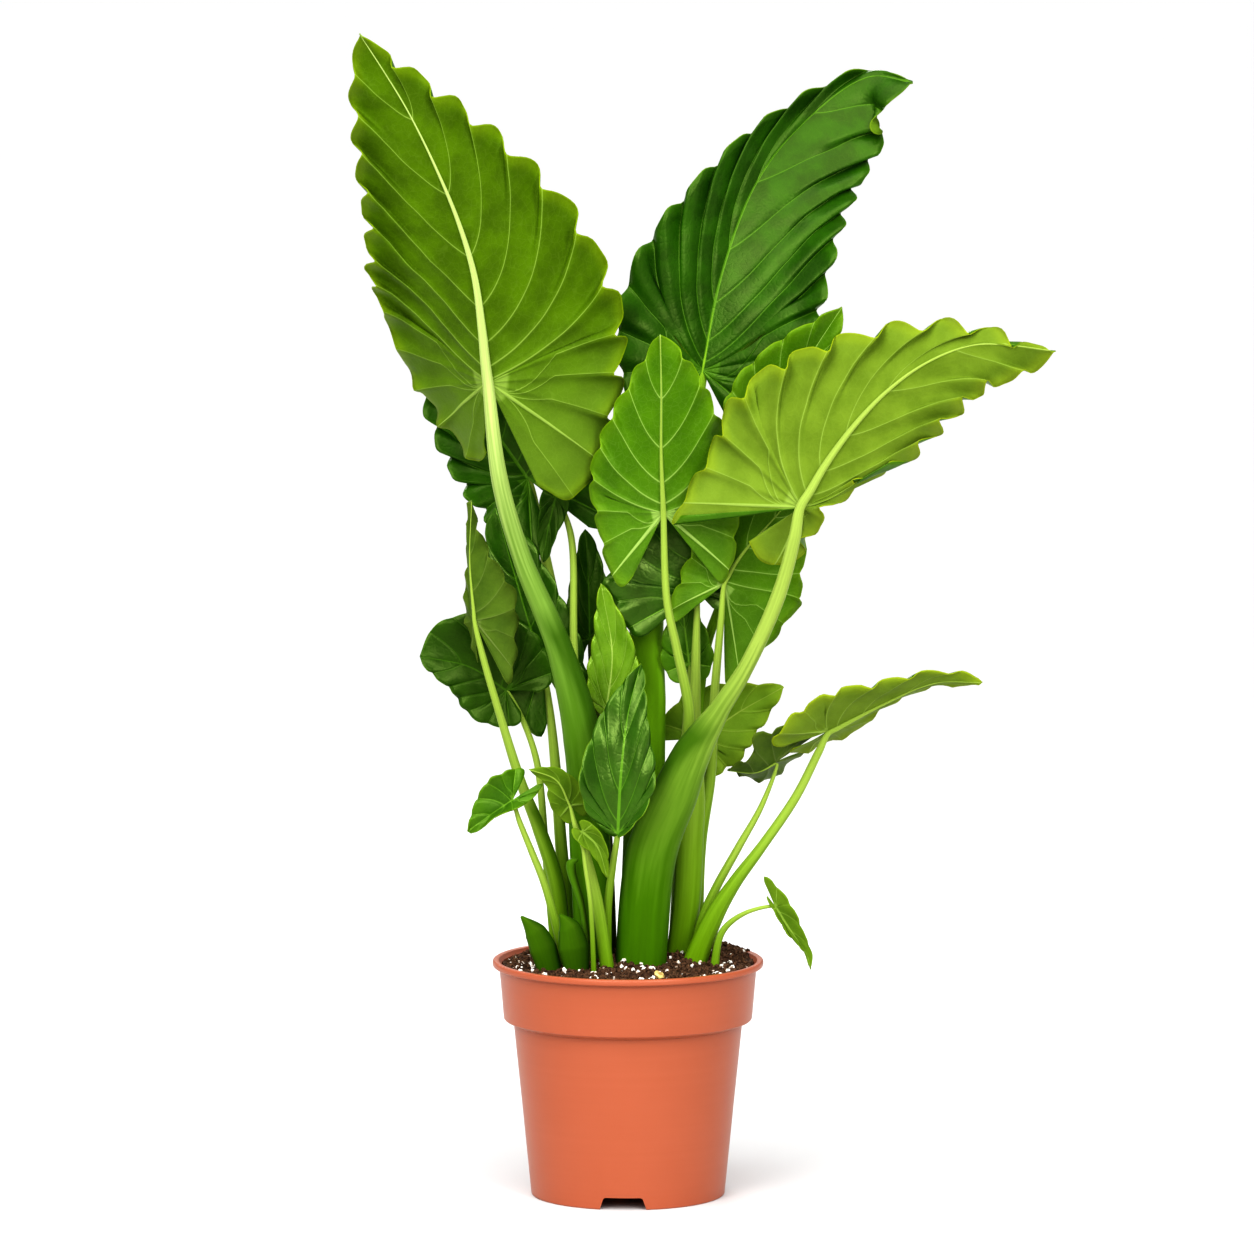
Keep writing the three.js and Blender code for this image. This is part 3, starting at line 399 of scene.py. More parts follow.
# Each leaf's measures in mm, with x to the right, y to the back and z up. Pairs are for its left and right
# half, seen on its upper face with the tip ahead.
# rib, stalk: points along the midrib, and up the stalk, there each with its width.
# turn: degrees round the midrib at both ends. At 180 the underside looks to the front.
# width, lobe: how far each half reaches sideways, and its back lobe backwards.
# slim, splay: how soon a half narrows to the tip, and how much of its width the back lobe keeps.
# pinch, narrow: depth of a waist at the junction, and the share over which the blade's foot widens.
# fold, base_fold, tuck: degrees a half stands up, its back lobe further, and that lobe's lift.
# wave, sway, veins, seed: waves and slow sway of the margin, side veins, a start for unevenness.
# upper, under, skin, sheath: looks of the faces and of the stalk, and its sheath as in tube().
leaves = {
    "upper_left": dict(
        rib=((-122, -60, 727), (-137, -85, 838), (-185, -110, 957), (-231, -115, 1033)),
        turn=(180, 180), width=(122, 108), lobe=(122, 85), slim=(1.35, 0.75), fold=(12, 20),
        base_fold=(0, 48), wave=8, sway=6, veins=13, seed=1, under="bright", skin="cream",
        sheath=(0.40, -10, 88, 1.2, 1),
        stalk=((-30, -8, 205, 34), (-34, -12, 309, 35), (-40, -22, 408, 34), (-60, -36, 490, 23),
               (-93, -48, 573, 17), (-112, -57, 642, 15))),
    "upper_right": dict(
        rib=((66, 60, 728), (83, 75, 812), (115, 95, 894), (159, 115, 947), (215, 120, 985),
             (253, 105, 980)),
        width=(84, 100), lobe=(60, 40), slim=(1.8, 0.42), fold=(20, 20), wave=6, sway=6, veins=12, seed=2,
        upper="deep", skin="broad", sheath=(0.42, -60, -80, 1.2, -1),
        stalk=((11, 30, 205, 37), (15, 34, 347, 35), (16, 40, 436, 35), (18, 46, 515, 28),
               (35, 54, 613, 18), (57, 60, 684, 13))),
    "middle": dict(
        rib=((31, -33, 610), (29, -42, 662), (29, -54, 721), (28, -66, 770)),
        turn=(180, 180), width=(70, 66), lobe=(70, 68), slim=(0.8, 1), splay=(0.5, 0.25), wave=3, sway=5,
        veins=9, seed=3, under="vivid", sheath=(0.35, 30, 60, 0.6, 1),
        stalk=((24, 3, 205, 16), (35, 0, 305, 15), (49, -8, 371, 14), (54, -16, 430, 10), (43, -26, 489, 8),
               (34, -33, 534, 7))),
    "right": dict(
        rib=((150, -93, 621), (186, -104, 681), (242, -116, 739), (299, -124, 765), (369, -127, 760)),
        turn=(170, 185), width=(66, 104), lobe=(66, 82), slim=(0.5, 2), splay=(-1.3, 0.85), pinch=(0.7, 0),
        tuck=(30, 0), fold=(12, 15), wave=8, sway=5, veins=11, seed=4, under="lime", skin="fleshy",
        sheath=(0.345, 38, -85, 1.2, -1),
        stalk=((11, -25, 205, 45), (21, -27, 309, 45), (41, -30, 361, 41), (57, -34, 399, 33),
               (81, -42, 439, 18), (103, -52, 476, 14), (131, -76, 542, 13), (145, -92, 596, 11))),
    "behind_middle": dict(
        rib=((61, 18, 536), (55, 22, 582), (46, 28, 643)),
        width=(80, 46), lobe=(34, 20), splay=(0.4, 0), fold=(3, 3), wave=3, veins=7, seed=5, upper="shiny",
        under="shade",
        stalk=((45, 17, 205, 23), (52, 16, 260, 25), (56, 16, 350, 25), (59, 14, 422, 11),
               (60, 10, 484, 8))),
    "behind_right": dict(
        rib=((130, 5, 677), (152, 10, 730), (188, 12, 788)),
        width=(54, 45), lobe=(45, 40), wave=3, veins=7, seed=6, upper="vivid", skin="leafy",
        stalk=((46, 56, 205, 16), (54, 56, 302, 16), (60, 54, 401, 11), (69, 48, 481, 9), (87, 36, 536, 8),
               (112, 18, 625, 7))),
    "below_right": dict(
        rib=((85, -4, 545), (98, -5, 568), (130, -9, 605), (161, -12, 643)),
        turn=(180, 180), width=(70, 40), lobe=(80, 56), slim=(1.1, 1), splay=(0.45, 0.3), wave=3, veins=8,
        seed=7, under="vivid",
        stalk=((60, 38, 205, 14), (63, 36, 305, 13), (73, 31, 370, 10), (76, 4, 440, 8), (82, -10, 515, 6))),
    "low_right": dict(
        rib=((67, 72, 398), (97, 74, 420), (139, 72, 444)),
        width=(42, 36), lobe=(34, 34), splay=(0.3, 0.3), fold=(12, 12), wave=2, veins=6, seed=8,
        upper="sunlit", under="lime",
        stalk=((29, 62, 205, 12), (38, 70, 300, 11), (54, 77, 365, 8))),
    "far_right": dict(
        rib=((176, -15, 415), (222, -25, 440), (270, -35, 461), (311, -42, 462)),
        turn=(-118, -113), width=(52, 50), lobe=(45, 45), fold=(12, 12), wave=2, veins=7, seed=9,
        upper="deep", under="lime",
        stalk=((58, -12, 205, 22), (76, -13, 250, 17), (94, -14, 280, 12), (119, -15, 314, 9),
               (148, -16, 357, 8), (168, -16, 397, 7))),
    "under_far_right": dict(
        rib=((132, 32, 382), (114, 30, 373), (88, 28, 375)),
        turn=(120, 120), width=(46, 44), lobe=(60, 50), fold=(12, 12), wave=2, veins=6, seed=10,
        upper="deep", under="dull",
        stalk=((58, 6, 205, 11), (66, 7, 243, 10), (77, 10, 270, 8), (97, 16, 306, 7), (119, 23, 345, 5))),
    "lowest_right": dict(
        rib=((130, -35, 262), (144, -38, 240), (157, -41, 221), (161, -42, 207)),
        width=(13, 4), lobe=(28, 12), fold=(10, 30), wave=1, sway=1, veins=5, seed=11, upper="olive",
        stalk=((76, -30, 205, 8), (83, -31, 239, 6), (103, -33, 256, 4))),
    "inner_right": dict(
        rib=((54, 30, 470), (50, 31, 505), (46, 33, 545)),
        width=(24, 22), lobe=(16, 16), fold=(8, 8), wave=1, sway=2, veins=5, seed=23,
        stalk=((40, 38, 205, 9), (45, 40, 305, 8), (50, 40, 400, 6))),
    "behind_left": dict(
        rib=((-89, 60, 632), (-131, 72, 692), (-168, 85, 750), (-188, 95, 790)),
        width=(54, 80), lobe=(65, 80), slim=(0.8, 1), wave=6, veins=10, seed=12, upper="deep",
        under="shade",
        stalk=((-28, 38, 205, 19), (-34, 40, 302, 18), (-44, 44, 400, 13), (-59, 54, 489, 11),
               (-76, 64, 573, 9))),
    "left_folded": dict(
        rib=((-135, -20, 514), (-139, -24, 568), (-137, -26, 621)),
        turn=(180, 180), width=(38, 20), lobe=(60, 40), slim=(1.6, 1), splay=(0.4, 0), fold=(5, 70),
        wave=2.5, veins=7, seed=13, under="dull", sheath=(0.4, 20, 60, 0.6, 1),
        stalk=((-56, -6, 205, 12), (-63, -6, 277, 14), (-78, -8, 326, 12), (-94, -10, 368, 9),
               (-113, -14, 430, 7), (-128, -18, 483, 6))),
    "left_round": dict(
        rib=((-108, 16, 448), (-140, 14, 469), (-184, 8, 479)),
        width=(36, 56), lobe=(26, 30), slim=(0.7, 0.4), fold=(8, 0), wave=1.2, veins=7, seed=14,
        upper="dusk",
        stalk=((-64, 12, 205, 9), (-73, 13, 305, 7), (-81, 16, 385, 6), (-94, 22, 422, 5))),
    "left_dark": dict(
        rib=((-76, 37, 467), (-96, 36, 533), (-117, 30, 609)),
        width=(42, 40), lobe=(60, 55), slim=(0.7, 0.7), fold=(2, 8), wave=2, veins=7, seed=15,
        upper="shiny", under="shade",
        stalk=((-50, 22, 205, 14), (-59, 24, 304, 11), (-65, 35, 384, 9), (-70, 42, 430, 7))),
    "low_left": dict(
        rib=((-102, -47, 358), (-121, -53, 346), (-141, -56, 332)),
        width=(12, 28), lobe=(30, 24), splay=(0, 0.2), fold=(50, 10), wave=1.2, veins=6, seed=16,
        stalk=((-55, -26, 205, 9), (-72, -32, 277, 7), (-85, -38, 312, 6), (-95, -44, 338, 5))),
    "small_pale": dict(
        rib=((-51, -50, 354), (-63, -54, 377), (-87, -58, 387)),
        turn=(180, 180), width=(16, 16), lobe=(15, 15), wave=0.6, sway=1, veins=5, seed=17,
        stalk=((-18, -46, 205, 13), (-28, -48, 273, 10), (-39, -51, 319, 6), (-46, -55, 336, 5))),
    "small_pointed": dict(
        rib=((-40, -70, 334), (-27, -72, 321), (-18, -74, 293)),
        width=(11, 10), lobe=(8, 8), wave=0.6, sway=1, veins=4, seed=18, upper="olive",
        stalk=((-30, -58, 205, 5), (-33, -66, 270, 4), (-38, -67, 308, 4))),
    "front_dark": dict(
        rib=((-9, -68, 332), (-6, -66, 386), (0, -56, 436), (11, -42, 479)),
        width=(43, 34), lobe=(4, 4), slim=(0.9, 0.8), narrow=0.3, wave=1.2, sway=4, veins=7, seed=19,
        upper="shiny",
        stalk=((-19, -30, 205, 10), (-18, -38, 262, 8), (-13, -54, 304, 6))),
    "inner_pale": dict(
        rib=((-19, 12, 431), (-14, 8, 482), (-24, 6, 544)),
        width=(24, 27), lobe=(8, 8), slim=(0.8, 0.8), narrow=0.3, wave=1.2, sway=2, veins=6, seed=20,
        upper="pale", under="bright", skin="leafy",
        stalk=((-20, 15, 205, 12), (-21, 14, 305, 11), (-22, 9, 385, 9))),
    "inner_brown": dict(
        rib=((-34, 42, 491), (-35, 44, 535), (-38, 48, 588)),
        width=(21, 24), lobe=(15, 15), slim=(0.7, 0.8), wave=0.8, veins=6, seed=21, upper="dusk",
        under="shade", skin="brown",
        stalk=((-14, 50, 205, 9), (-20, 50, 347, 8), (-30, 48, 437, 7))),
    "inner_narrow": dict(
        rib=((-64, 34, 618), (-71, 33, 588), (-75, 31, 560)),
        width=(13, 13), lobe=(12, 12), slim=(0.7, 0.8), wave=0.6, veins=5, seed=22, upper="dusk",
        under="shade",
        stalk=((-43, 12, 205, 10), (-44, 10, 351, 8), (-48, 14, 493, 7), (-51, 40, 585, 6))),
}

# Looks of a blade's faces: colours of the blade, its darker patches, its veins and its edge, where the
# edge's colour is a pale rim of the leaf's own and also painted light in a band along the margin; how rough
# and how glossy;
# veins raised (1) or sunk (-1); for one, how much painted light pales it towards the back lobes. The shade
# look and the dusk look are darker copies that paint shade on leaves lying in the shadow of others, and the
# sunlit look is a paler copy that paints light.
faces = {
    "deep": ((0.02, 0.084, 0.001), (0.011, 0.049, 0.001), (0.08, 0.2, 0.01), (0.05, 0.14, 0.003),
             0.36, 0.45, -1),
    "shiny": ((0.02, 0.078, 0.002), (0.012, 0.05, 0.001), (0.08, 0.2, 0.01), (0.04, 0.12, 0.003),
              0.3, 0.8, -1),
    "dusk": ((0.016, 0.054, 0.001), (0.01, 0.037, 0.001), (0.036, 0.1, 0.004), (0.035, 0.1, 0.004),
             0.34, 0.35, -1),
    "fresh": ((0.04, 0.125, 0.002), (0.026, 0.088, 0.002), (0.12, 0.25, 0.02), (0.1, 0.21, 0.004),
              0.34, 0.45, -1),
    "pale": ((0.14, 0.262, 0.014), (0.098, 0.205, 0.007), (0.3, 0.42, 0.09), (0.16, 0.28, 0.01),
             0.26, 0.7, -1),
    "bright": ((0.074, 0.146, 0.001), (0.052, 0.104, 0.001), (0.25, 0.36, 0.07), (0.24, 0.34, 0.006),
               0.58, 0.14, 1, 0.8),
    "vivid": ((0.068, 0.168, 0.002), (0.05, 0.134, 0.001), (0.3, 0.44, 0.11), (0.19, 0.32, 0.01),
              0.4, 0.25, 1),
    "lime": ((0.15, 0.226, 0.022), (0.118, 0.184, 0.016), (0.25, 0.35, 0.07), (0.3, 0.37, 0.01),
             0.62, 0.12, 1),
    "sunlit": ((0.19, 0.31, 0.028), (0.14, 0.24, 0.018), (0.3, 0.4, 0.07), (0.25, 0.34, 0.02), 0.5, 0.2, 1),
    "olive": ((0.09, 0.158, 0.01), (0.058, 0.115, 0.006), (0.17, 0.26, 0.04), (0.16, 0.26, 0.015),
              0.6, 0.12, 1),
    "dull": ((0.082, 0.138, 0.015), (0.05, 0.094, 0.01), (0.13, 0.18, 0.045), (0.11, 0.16, 0.02),
             0.55, 0.15, 1),
    "shade": ((0.02, 0.054, 0.003), (0.011, 0.033, 0.002), (0.05, 0.11, 0.015), (0.04, 0.1, 0.01),
              0.45, 0.12, 1),
}

def attribute(tree, title):
    """A number that the mesh keeps at each of its corners."""
    node = tree.nodes.new("ShaderNodeAttribute")
    node.attribute_name = title
    return node.outputs["Fac"]

def flat_place(tree, layer):
    """The place on a flat sheet that the mesh keeps for each corner."""
    node = tree.nodes.new("ShaderNodeUVMap")
    node.uv_map = layer
    return node.outputs["UV"]

def worked(tree, operation, *values):
    """The outcome of a sum whose terms are numbers or other outcomes."""
    node = tree.nodes.new("ShaderNodeMath")
    node.operation = operation
    for value, socket in zip(values, node.inputs):
        if isinstance(value, float):
            socket.default_value = value
        else:
            tree.links.new(value, socket)
    return node.outputs[0]

def ranged(tree, value, low, high, start, end, kind="SMOOTHSTEP"):
    """A value that passes from start to end while another goes from low to high."""
    node = tree.nodes.new("ShaderNodeMapRange")
    node.interpolation_type = kind
    for socket, number in zip(("From Min", "From Max", "To Min", "To Max"), (low, high, start, end)):
        node.inputs[socket].default_value = number
    tree.links.new(value, node.inputs["Value"])
    return node.outputs["Result"]

def mixed(tree, first, second, share):
    """One colour with a share of another in it."""
    node = tree.nodes.new("ShaderNodeMix")
    node.data_type = "RGBA"
    for socket, value in ((6, first), (7, second)):
        if isinstance(value, tuple):
            node.inputs[socket].default_value = (*value, 1)
        else:
            tree.links.new(value, node.inputs[socket])
    tree.links.new(share, node.inputs["Factor"])
    return node.outputs[2]

def vein_net(tree, place, scale):
    """How far a place lies from the nearest vein of an irregular net."""
    node = tree.nodes.new("ShaderNodeTexVoronoi")
    node.feature = "DISTANCE_TO_EDGE"
    node.inputs["Scale"].default_value = scale
    tree.links.new(place, node.inputs["Vector"])
    return node.outputs["Distance"]

def blade_material(name, base, dark, vein, edge, rough, gloss, relief, lobe_light_share=0.35):
    """One face of a blade: patches of green, pale veins and a fine net between them, a pale rim of its own,
    and painted light that brightens a band along the margin and the back lobes.
    """
    material, tree, shader = new_material("blade_" + name, rough, gloss)
    shader.inputs["Specular Tint"].default_value = (0.75, 1.0, 0.30, 1)
    flat = flat_place(tree, "flat_leaf")
    split = tree.nodes.new("ShaderNodeSeparateXYZ")
    tree.links.new(flat, split.inputs["Vector"])
    coarse, fine = vein_net(tree, flat, 17.0), vein_net(tree, flat, 60.0)
    between_veins = worked(tree, "PINGPONG", attribute(tree, "vein_number"), 0.5)
    beside = worked(tree, "MULTIPLY", between_veins, attribute(tree, "vein_gap"))
    margin = attribute(tree, "near_edge")
    patchy = ranged(tree, noise(tree, flat, 3.2, detail=4.0), 0.35, 0.65, 0, 1)
    # Painted light: the blade pales towards its back lobes.
    lobe_light = ranged(tree, split.outputs["Y"], -0.9, 0.7, lobe_light_share, 0)
    halo = ranged(tree, beside, 0.5, 5.0, 0.22, 0)
    net_line = worked(tree, "MAXIMUM", ranged(tree, coarse, 0.0, 0.06, 0.08, 0),
                      ranged(tree, fine, 0.0, 0.10, 0.03, 0))
    # The margin's thin pale rim, the leaf's own colour, and a wider band of painted light that brightens the
    # blade towards the margin.
    rim_and_margin_light = worked(tree, "MAXIMUM", ranged(tree, margin, 0.3, 2.4, 0.7, 0),
                 ranged(tree, margin, 1.0, 16.0, 0.24, 0))
    bold_line = worked(tree, "MAXIMUM", ranged(tree, beside, 0.35, 0.95, 0.62, 0),
                       ranged(tree, attribute(tree, "near_rib"), 1.2, 1.9, 1, 0))
    paler = tuple(0.72 * one + 0.28 * two for one, two in zip(base, vein))
    colour = mixed(tree, dark, base, patchy)
    for over, share in ((paler, lobe_light), (paler, halo), (vein, net_line), (edge, rim_and_margin_light), (vein, bold_line)):
        colour = mixed(tree, colour, over, share)
    tree.links.new(colour, shader.inputs["Base Color"])
    swell = ranged(tree, beside, 0.0, 5.0, relief, 0)
    cells = ranged(tree, coarse, 0.0, 0.25, 0.2 * relief, 0)
    add_relief(tree, shader, worked(tree, "ADD", swell, cells), 0.55, 0.0006)
    return material

blade_materials = {name: blade_material(name, *look) for name, look in faces.items()}

half_outline = [  # along the midrib and across it, from the back lobe's inner corner round to the tip
    (-0.84, 0.26), (-1, 0.46), (-0.86, 0.66), (-0.46, 0.84), (0, 0.97), (0.15, 1),
    (0.33, 0.88), (0.5, 0.69), (0.67, 0.49), (0.82, 0.29), (0.94, 0.11), (1, 0),
]
vein_bend = 0.6  # how strongly side veins curve towards the tip
vein_sweep = 2.2  # how the side veins' feet crowd towards the junction
fan_share = 0.4  # share of the margin whose veins spring from the junction itself
open_share = 0.35  # share of the midrib over which the back lobes' own fold fades out
pinch_share = 0.26  # the same for the waist at the junction
wave_reach = 0.9  # how far the margin's waves also stand out sideways
wave_lean = 0.1  # how far they lean along the margin
quilting = 0.12  # how far the blade bulges between side veins
groove_depth = 0.35  # how deep side veins are sunk
dimple_depth, dimple_scale = 1.6, 0.09  # gentle unevenness of the whole blade
blade_thickness = 0.0009

def smooth_line(points, steps=40):
    """Close points on a smooth curve through the given ones, and how far along it each lies."""
    points = np.array(points, float)
    points = np.vstack([2 * points[0] - points[1], points, 2 * points[-1] - points[-2]])
    pieces = []
    share = np.linspace(0, 1, steps, endpoint=False)[:, None]
    for a, b, c, d in zip(points, points[1:], points[2:], points[3:]):
        first, second, third = (math.sqrt(np.linalg.norm(step)) for step in (b - a, c - b, d - c))
        leave = ((b - a) / first - (c - a) / (first + second) + (c - b) / second) * second
        arrive = ((c - b) / second - (d - b) / (second + third) + (d - c) / third) * second
        pieces.append(b + leave * share + (3 * (c - b) - 2 * leave - arrive) * share ** 2
                      + (2 * (b - c) + leave + arrive) * share ** 3)
    line = np.vstack([*pieces, points[-2]])
    far = np.concatenate([[0], np.cumsum(np.linalg.norm(np.diff(line, axis=0), axis=1))])
    return line, far

def on_line(line, far, distance):
    """Points of a smooth line at the given distances along it."""
    return np.stack([np.interp(distance, far, line[:, axis]) for axis in range(line.shape[1])], -1)

def unit(vectors):
    """The same directions with a length of one."""
    return vectors / np.maximum(np.linalg.norm(vectors, axis=-1, keepdims=True), 1e-12)

def rib_frame(leaf, along):
    """The midrib's points at distances from the junction, and there ahead, the upper side and right."""
    share = np.clip(along / leaf["length"], 0, 1)
    point = on_line(*leaf["midrib"], share * leaf["length"])
    ahead = unit(on_line(leaf["ahead"], leaf["midrib"][1], share * leaf["length"]))
    front = np.array([0.0, -1.0, 0.0])
    up = unit(front - ahead * (ahead @ front)[..., None])
    turn = np.radians(leaf["turn"][0] + (leaf["turn"][1] - leaf["turn"][0]) * share)[..., None]
    up = up * np.cos(turn) + np.cross(ahead, up) * np.sin(turn)
    return point, ahead, up, np.cross(ahead, up)

def blade_point(leaf, side, along, across, lift):
    """Where a place on the flat leaf comes to lie, with the half folded up along the midrib."""
    point, ahead, up, right = rib_frame(leaf, along)
    lobe, fold, base_fold, tuck = (np.where(side, leaf[key][1], leaf[key][0])
                                   for key in ("lobe", "fold", "base_fold", "tuck"))
    opened = open_share * leaf["length"]
    near_base = np.maximum(0, (opened - along) / (opened + lobe))
    fold = np.radians(fold + base_fold * near_base)[..., None]
    way = np.where(side, 1.0, -1.0)[..., None]
    outward = right * way * np.cos(fold) + up * np.sin(fold)
    normal = np.cross(outward, ahead) * way
    tucked = tuck * np.clip(-along / lobe, 0, 1) ** 0.6
    point = point + ahead * np.minimum(0, along)[..., None] + up * tucked[..., None]
    return point + outward * across[..., None] + normal * lift[..., None]

def basal_vein(leaf):
    """The number of the side vein that is the thick basal vein of a back lobe."""
    return max(1, round(0.3 * fan_share * leaf["veins"]))

def vein_place(leaf, side, share, out):
    """Place on the flat leaf, and lift: share of the margin where a vein ends, and how far out on it."""
    ends = [on_line(*leaf["margin"][i], share * leaf["margin"][i][1][-1]) for i in (0, 1)]
    end = np.where(side[..., None], ends[1], ends[0])
    spread = np.maximum(0, (share - fan_share) / (1 - fan_share))
    root = leaf["length"] * spread ** vein_sweep
    bend = out * (1 - vein_bend + vein_bend * out)
    edge = np.minimum(1, 5 * share) * np.minimum(1, 8 * (1 - share)) ** 0.5
    turns = share * leaf["veins"]
    strength = 1 + 0.4 * np.sin(5.3 * turns + 2.1 * side + leaf["seed"])
    ripple = -np.cos(2 * math.pi * turns + 0.5 * np.sin(2 * math.pi * turns)) * strength
    wave = leaf["wave"] * ripple * edge
    inside = np.where(share < 1, 1.0, 0.0)
    along = root + (end[..., 0] - root) * np.where(root > 0, bend, out)
    along = along - wave_lean * leaf["wave"] * edge * np.sin(2 * math.pi * turns) * out ** 5 * inside
    across = (end[..., 1] + wave_reach * wave * out ** 2) * out * inside
    sway = leaf["sway"] * np.sin(2 * math.pi * (1.6 * share + leaf["seed"] / 7 + side / 3))
    quilt = quilting * leaf["wave"] * (1 + ripple) * 2 * out * (1 - out)
    side_grooves = groove_depth * np.abs(np.cos(math.pi * turns)) ** 14
    basal_groove = np.exp(-(9 * (turns - basal_vein(leaf))) ** 2)
    groove = (side_grooves + basal_groove) * np.minimum(1, 6 * out) * (1 - out) ** 0.6
    spot = wavy(across * np.where(side, 1, -1), along, dimple_scale, leaf["seed"])
    uneven = dimple_depth * spot * out
    return along, across, (wave * out ** 5 + sway * out ** 2 + quilt + uneven - groove) * inside

def complete_leaf(given):
    """A leaf with what most leaves share filled in, and its midrib and two margins as smooth lines."""
    leaf = dict(turn=(0, 0), fold=(15, 15), slim=(1, 1), splay=(0, 0), pinch=(0, 0), narrow=0, tuck=(0, 0),
                base_fold=(0, 0), sway=3, upper="fresh", under="olive", skin="lime", sheath=None)
    leaf.update(given)
    line, far = smooth_line(leaf["rib"])
    leaf["midrib"], leaf["length"] = (line, far), far[-1]
    leaf["ahead"] = unit(np.gradient(line, axis=0))
    leaf["margin"] = []
    for side in (0, 1):
        outline = []
        for along, across in half_outline:
            if along > 0:
                place, reach = along * leaf["length"], across ** leaf["slim"][side]
            else:
                place, reach = along * leaf["lobe"][side], across + (0.97 - across) * leaf["splay"][side]
            reach *= 1 - leaf["pinch"][side] * math.exp(-(place / (pinch_share * leaf["length"])) ** 2)
            if leaf["narrow"]:
                reach *= min(1, (place + leaf["lobe"][side]) / (leaf["narrow"] * leaf["length"])) ** 0.6
            outline.append((place, reach * leaf["width"][side]))
        leaf["margin"].append(smooth_line(outline))
    return leaf

def keep_number(mesh, name, values):
    """Stores one number for each corner of a mesh."""
    store = mesh.attributes.new(name, "FLOAT", "POINT")
    store.data.foreach_set("value", np.asarray(values, np.float32).ravel())

def keep_places(mesh, name, places):
    """Stores a place on a flat sheet for each corner of a mesh."""
    layer = mesh.uv_layers.new(name=name)
    corner = np.zeros(len(mesh.loops), int)
    mesh.loops.foreach_get("vertex_index", corner)
    layer.data.foreach_set("uv", places[corner].ravel())

def make_blade(name, leaf):
    """The blade as one sheet of even rows along its side veins, with its looks kept at each corner."""
    big = leaf["length"] > 150  # a big leaf has more facets, and finer lines for its size
    per_vein, half = (12, 26) if big else (8, 16)
    rows = leaf["veins"] * per_vein
    piece, row, column = new_grid("blade_" + name, 2 * half, rows)
    offset = column - half
    side = offset > 0
    share = row / rows
    out = (np.abs(offset) / half) ** 1.35  # columns lie closer together towards the midrib
    along, across, lift = vein_place(leaf, side, share, out)
    points = blade_point(leaf, side, along, across, lift)
    piece.data.vertices.foreach_set("co", (points * 0.001).ravel())

    # How far each corner lies from its side vein, from the bold veins and from the margin, in mm. The
    # first veins spring from the basal vein of their lobe, so their lines part from it farther out.
    grid = np.zeros((rows + 1, 2 * half + 1, 3))
    grid[row, column] = points
    step = np.linalg.norm(np.diff(grid, axis=0), axis=2)
    gap = np.vstack([step, step[-1:]])[row, column] * per_vein * 0.75  # from one side vein to the next
    number, basal = row / per_vein, basal_vein(leaf)
    parted = np.where(share < fan_share, np.clip((out - 0.1) / 0.4, 0.02, 1), 1.0)
    drawn = np.clip(basal + (number - basal) / parted, 0.5, None)
    drawn = np.where(share < fan_share, np.minimum(drawn, math.ceil(fan_share * leaf["veins"]) - 0.5), drawn)
    thin = (1 + 1.6 * out) * np.where(share < fan_share, 1.5, 1.0) * (1.0 if big else 1.4)
    beside_basal = np.abs(number - basal) * gap
    run = np.cumsum(np.linalg.norm(np.diff(grid, axis=1, prepend=grid[:, :1]), axis=2), axis=1)
    to_edge = np.where(offset < 0, run[row, column], run[row, -1] - run[row, column])
    from_rib = np.where(along > 0, np.abs(across), np.hypot(along, across))
    taper = np.clip(1.15 - along / leaf["length"], 0.25, 1.0)
    keep_number(piece.data, "vein_number", drawn)
    keep_number(piece.data, "vein_gap", gap * thin * parted)
    bold = np.minimum(from_rib / taper, 1.1 * beside_basal / (1.05 - 0.8 * out))
    keep_number(piece.data, "near_rib", bold * (1.0 if big else 1.6))
    keep_number(piece.data, "near_edge", to_edge)
    keep_places(piece.data, "flat_leaf", np.stack([np.where(side, across, -across), along], 1) / 100)

    bpy.ops.object.mode_set(mode="EDIT")
    bpy.ops.mesh.select_all(action="SELECT")
    bpy.ops.mesh.remove_doubles(threshold=1e-6)
    bpy.ops.object.mode_set(mode="OBJECT")
    piece.data.materials.append(blade_materials[leaf["upper"]])
    piece.data.materials.append(blade_materials[leaf["under"]])
    skin = piece.modifiers.new("skin", "SOLIDIFY")
    skin.thickness = blade_thickness
    skin.offset = 0
    skin.material_offset = 1
    skin.material_offset_rim = 1
    bpy.ops.object.modifier_apply(modifier="skin")
    bpy.ops.object.shade_smooth()
    return piece

grown = {}
for name, given in leaves.items():
    leaf = complete_leaf(given)
    grown[name] = leaf
    blade = make_blade(name, leaf)
    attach(blade, "root")
    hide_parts("leaf_" + name)

# ---------- stalks
# Smooth fleshy leaf stalks that stand in the peat. Each widens downwards into an open sheath, whose free
# edge laps round it, and goes on above the junction as the midrib, along the blade's underside.

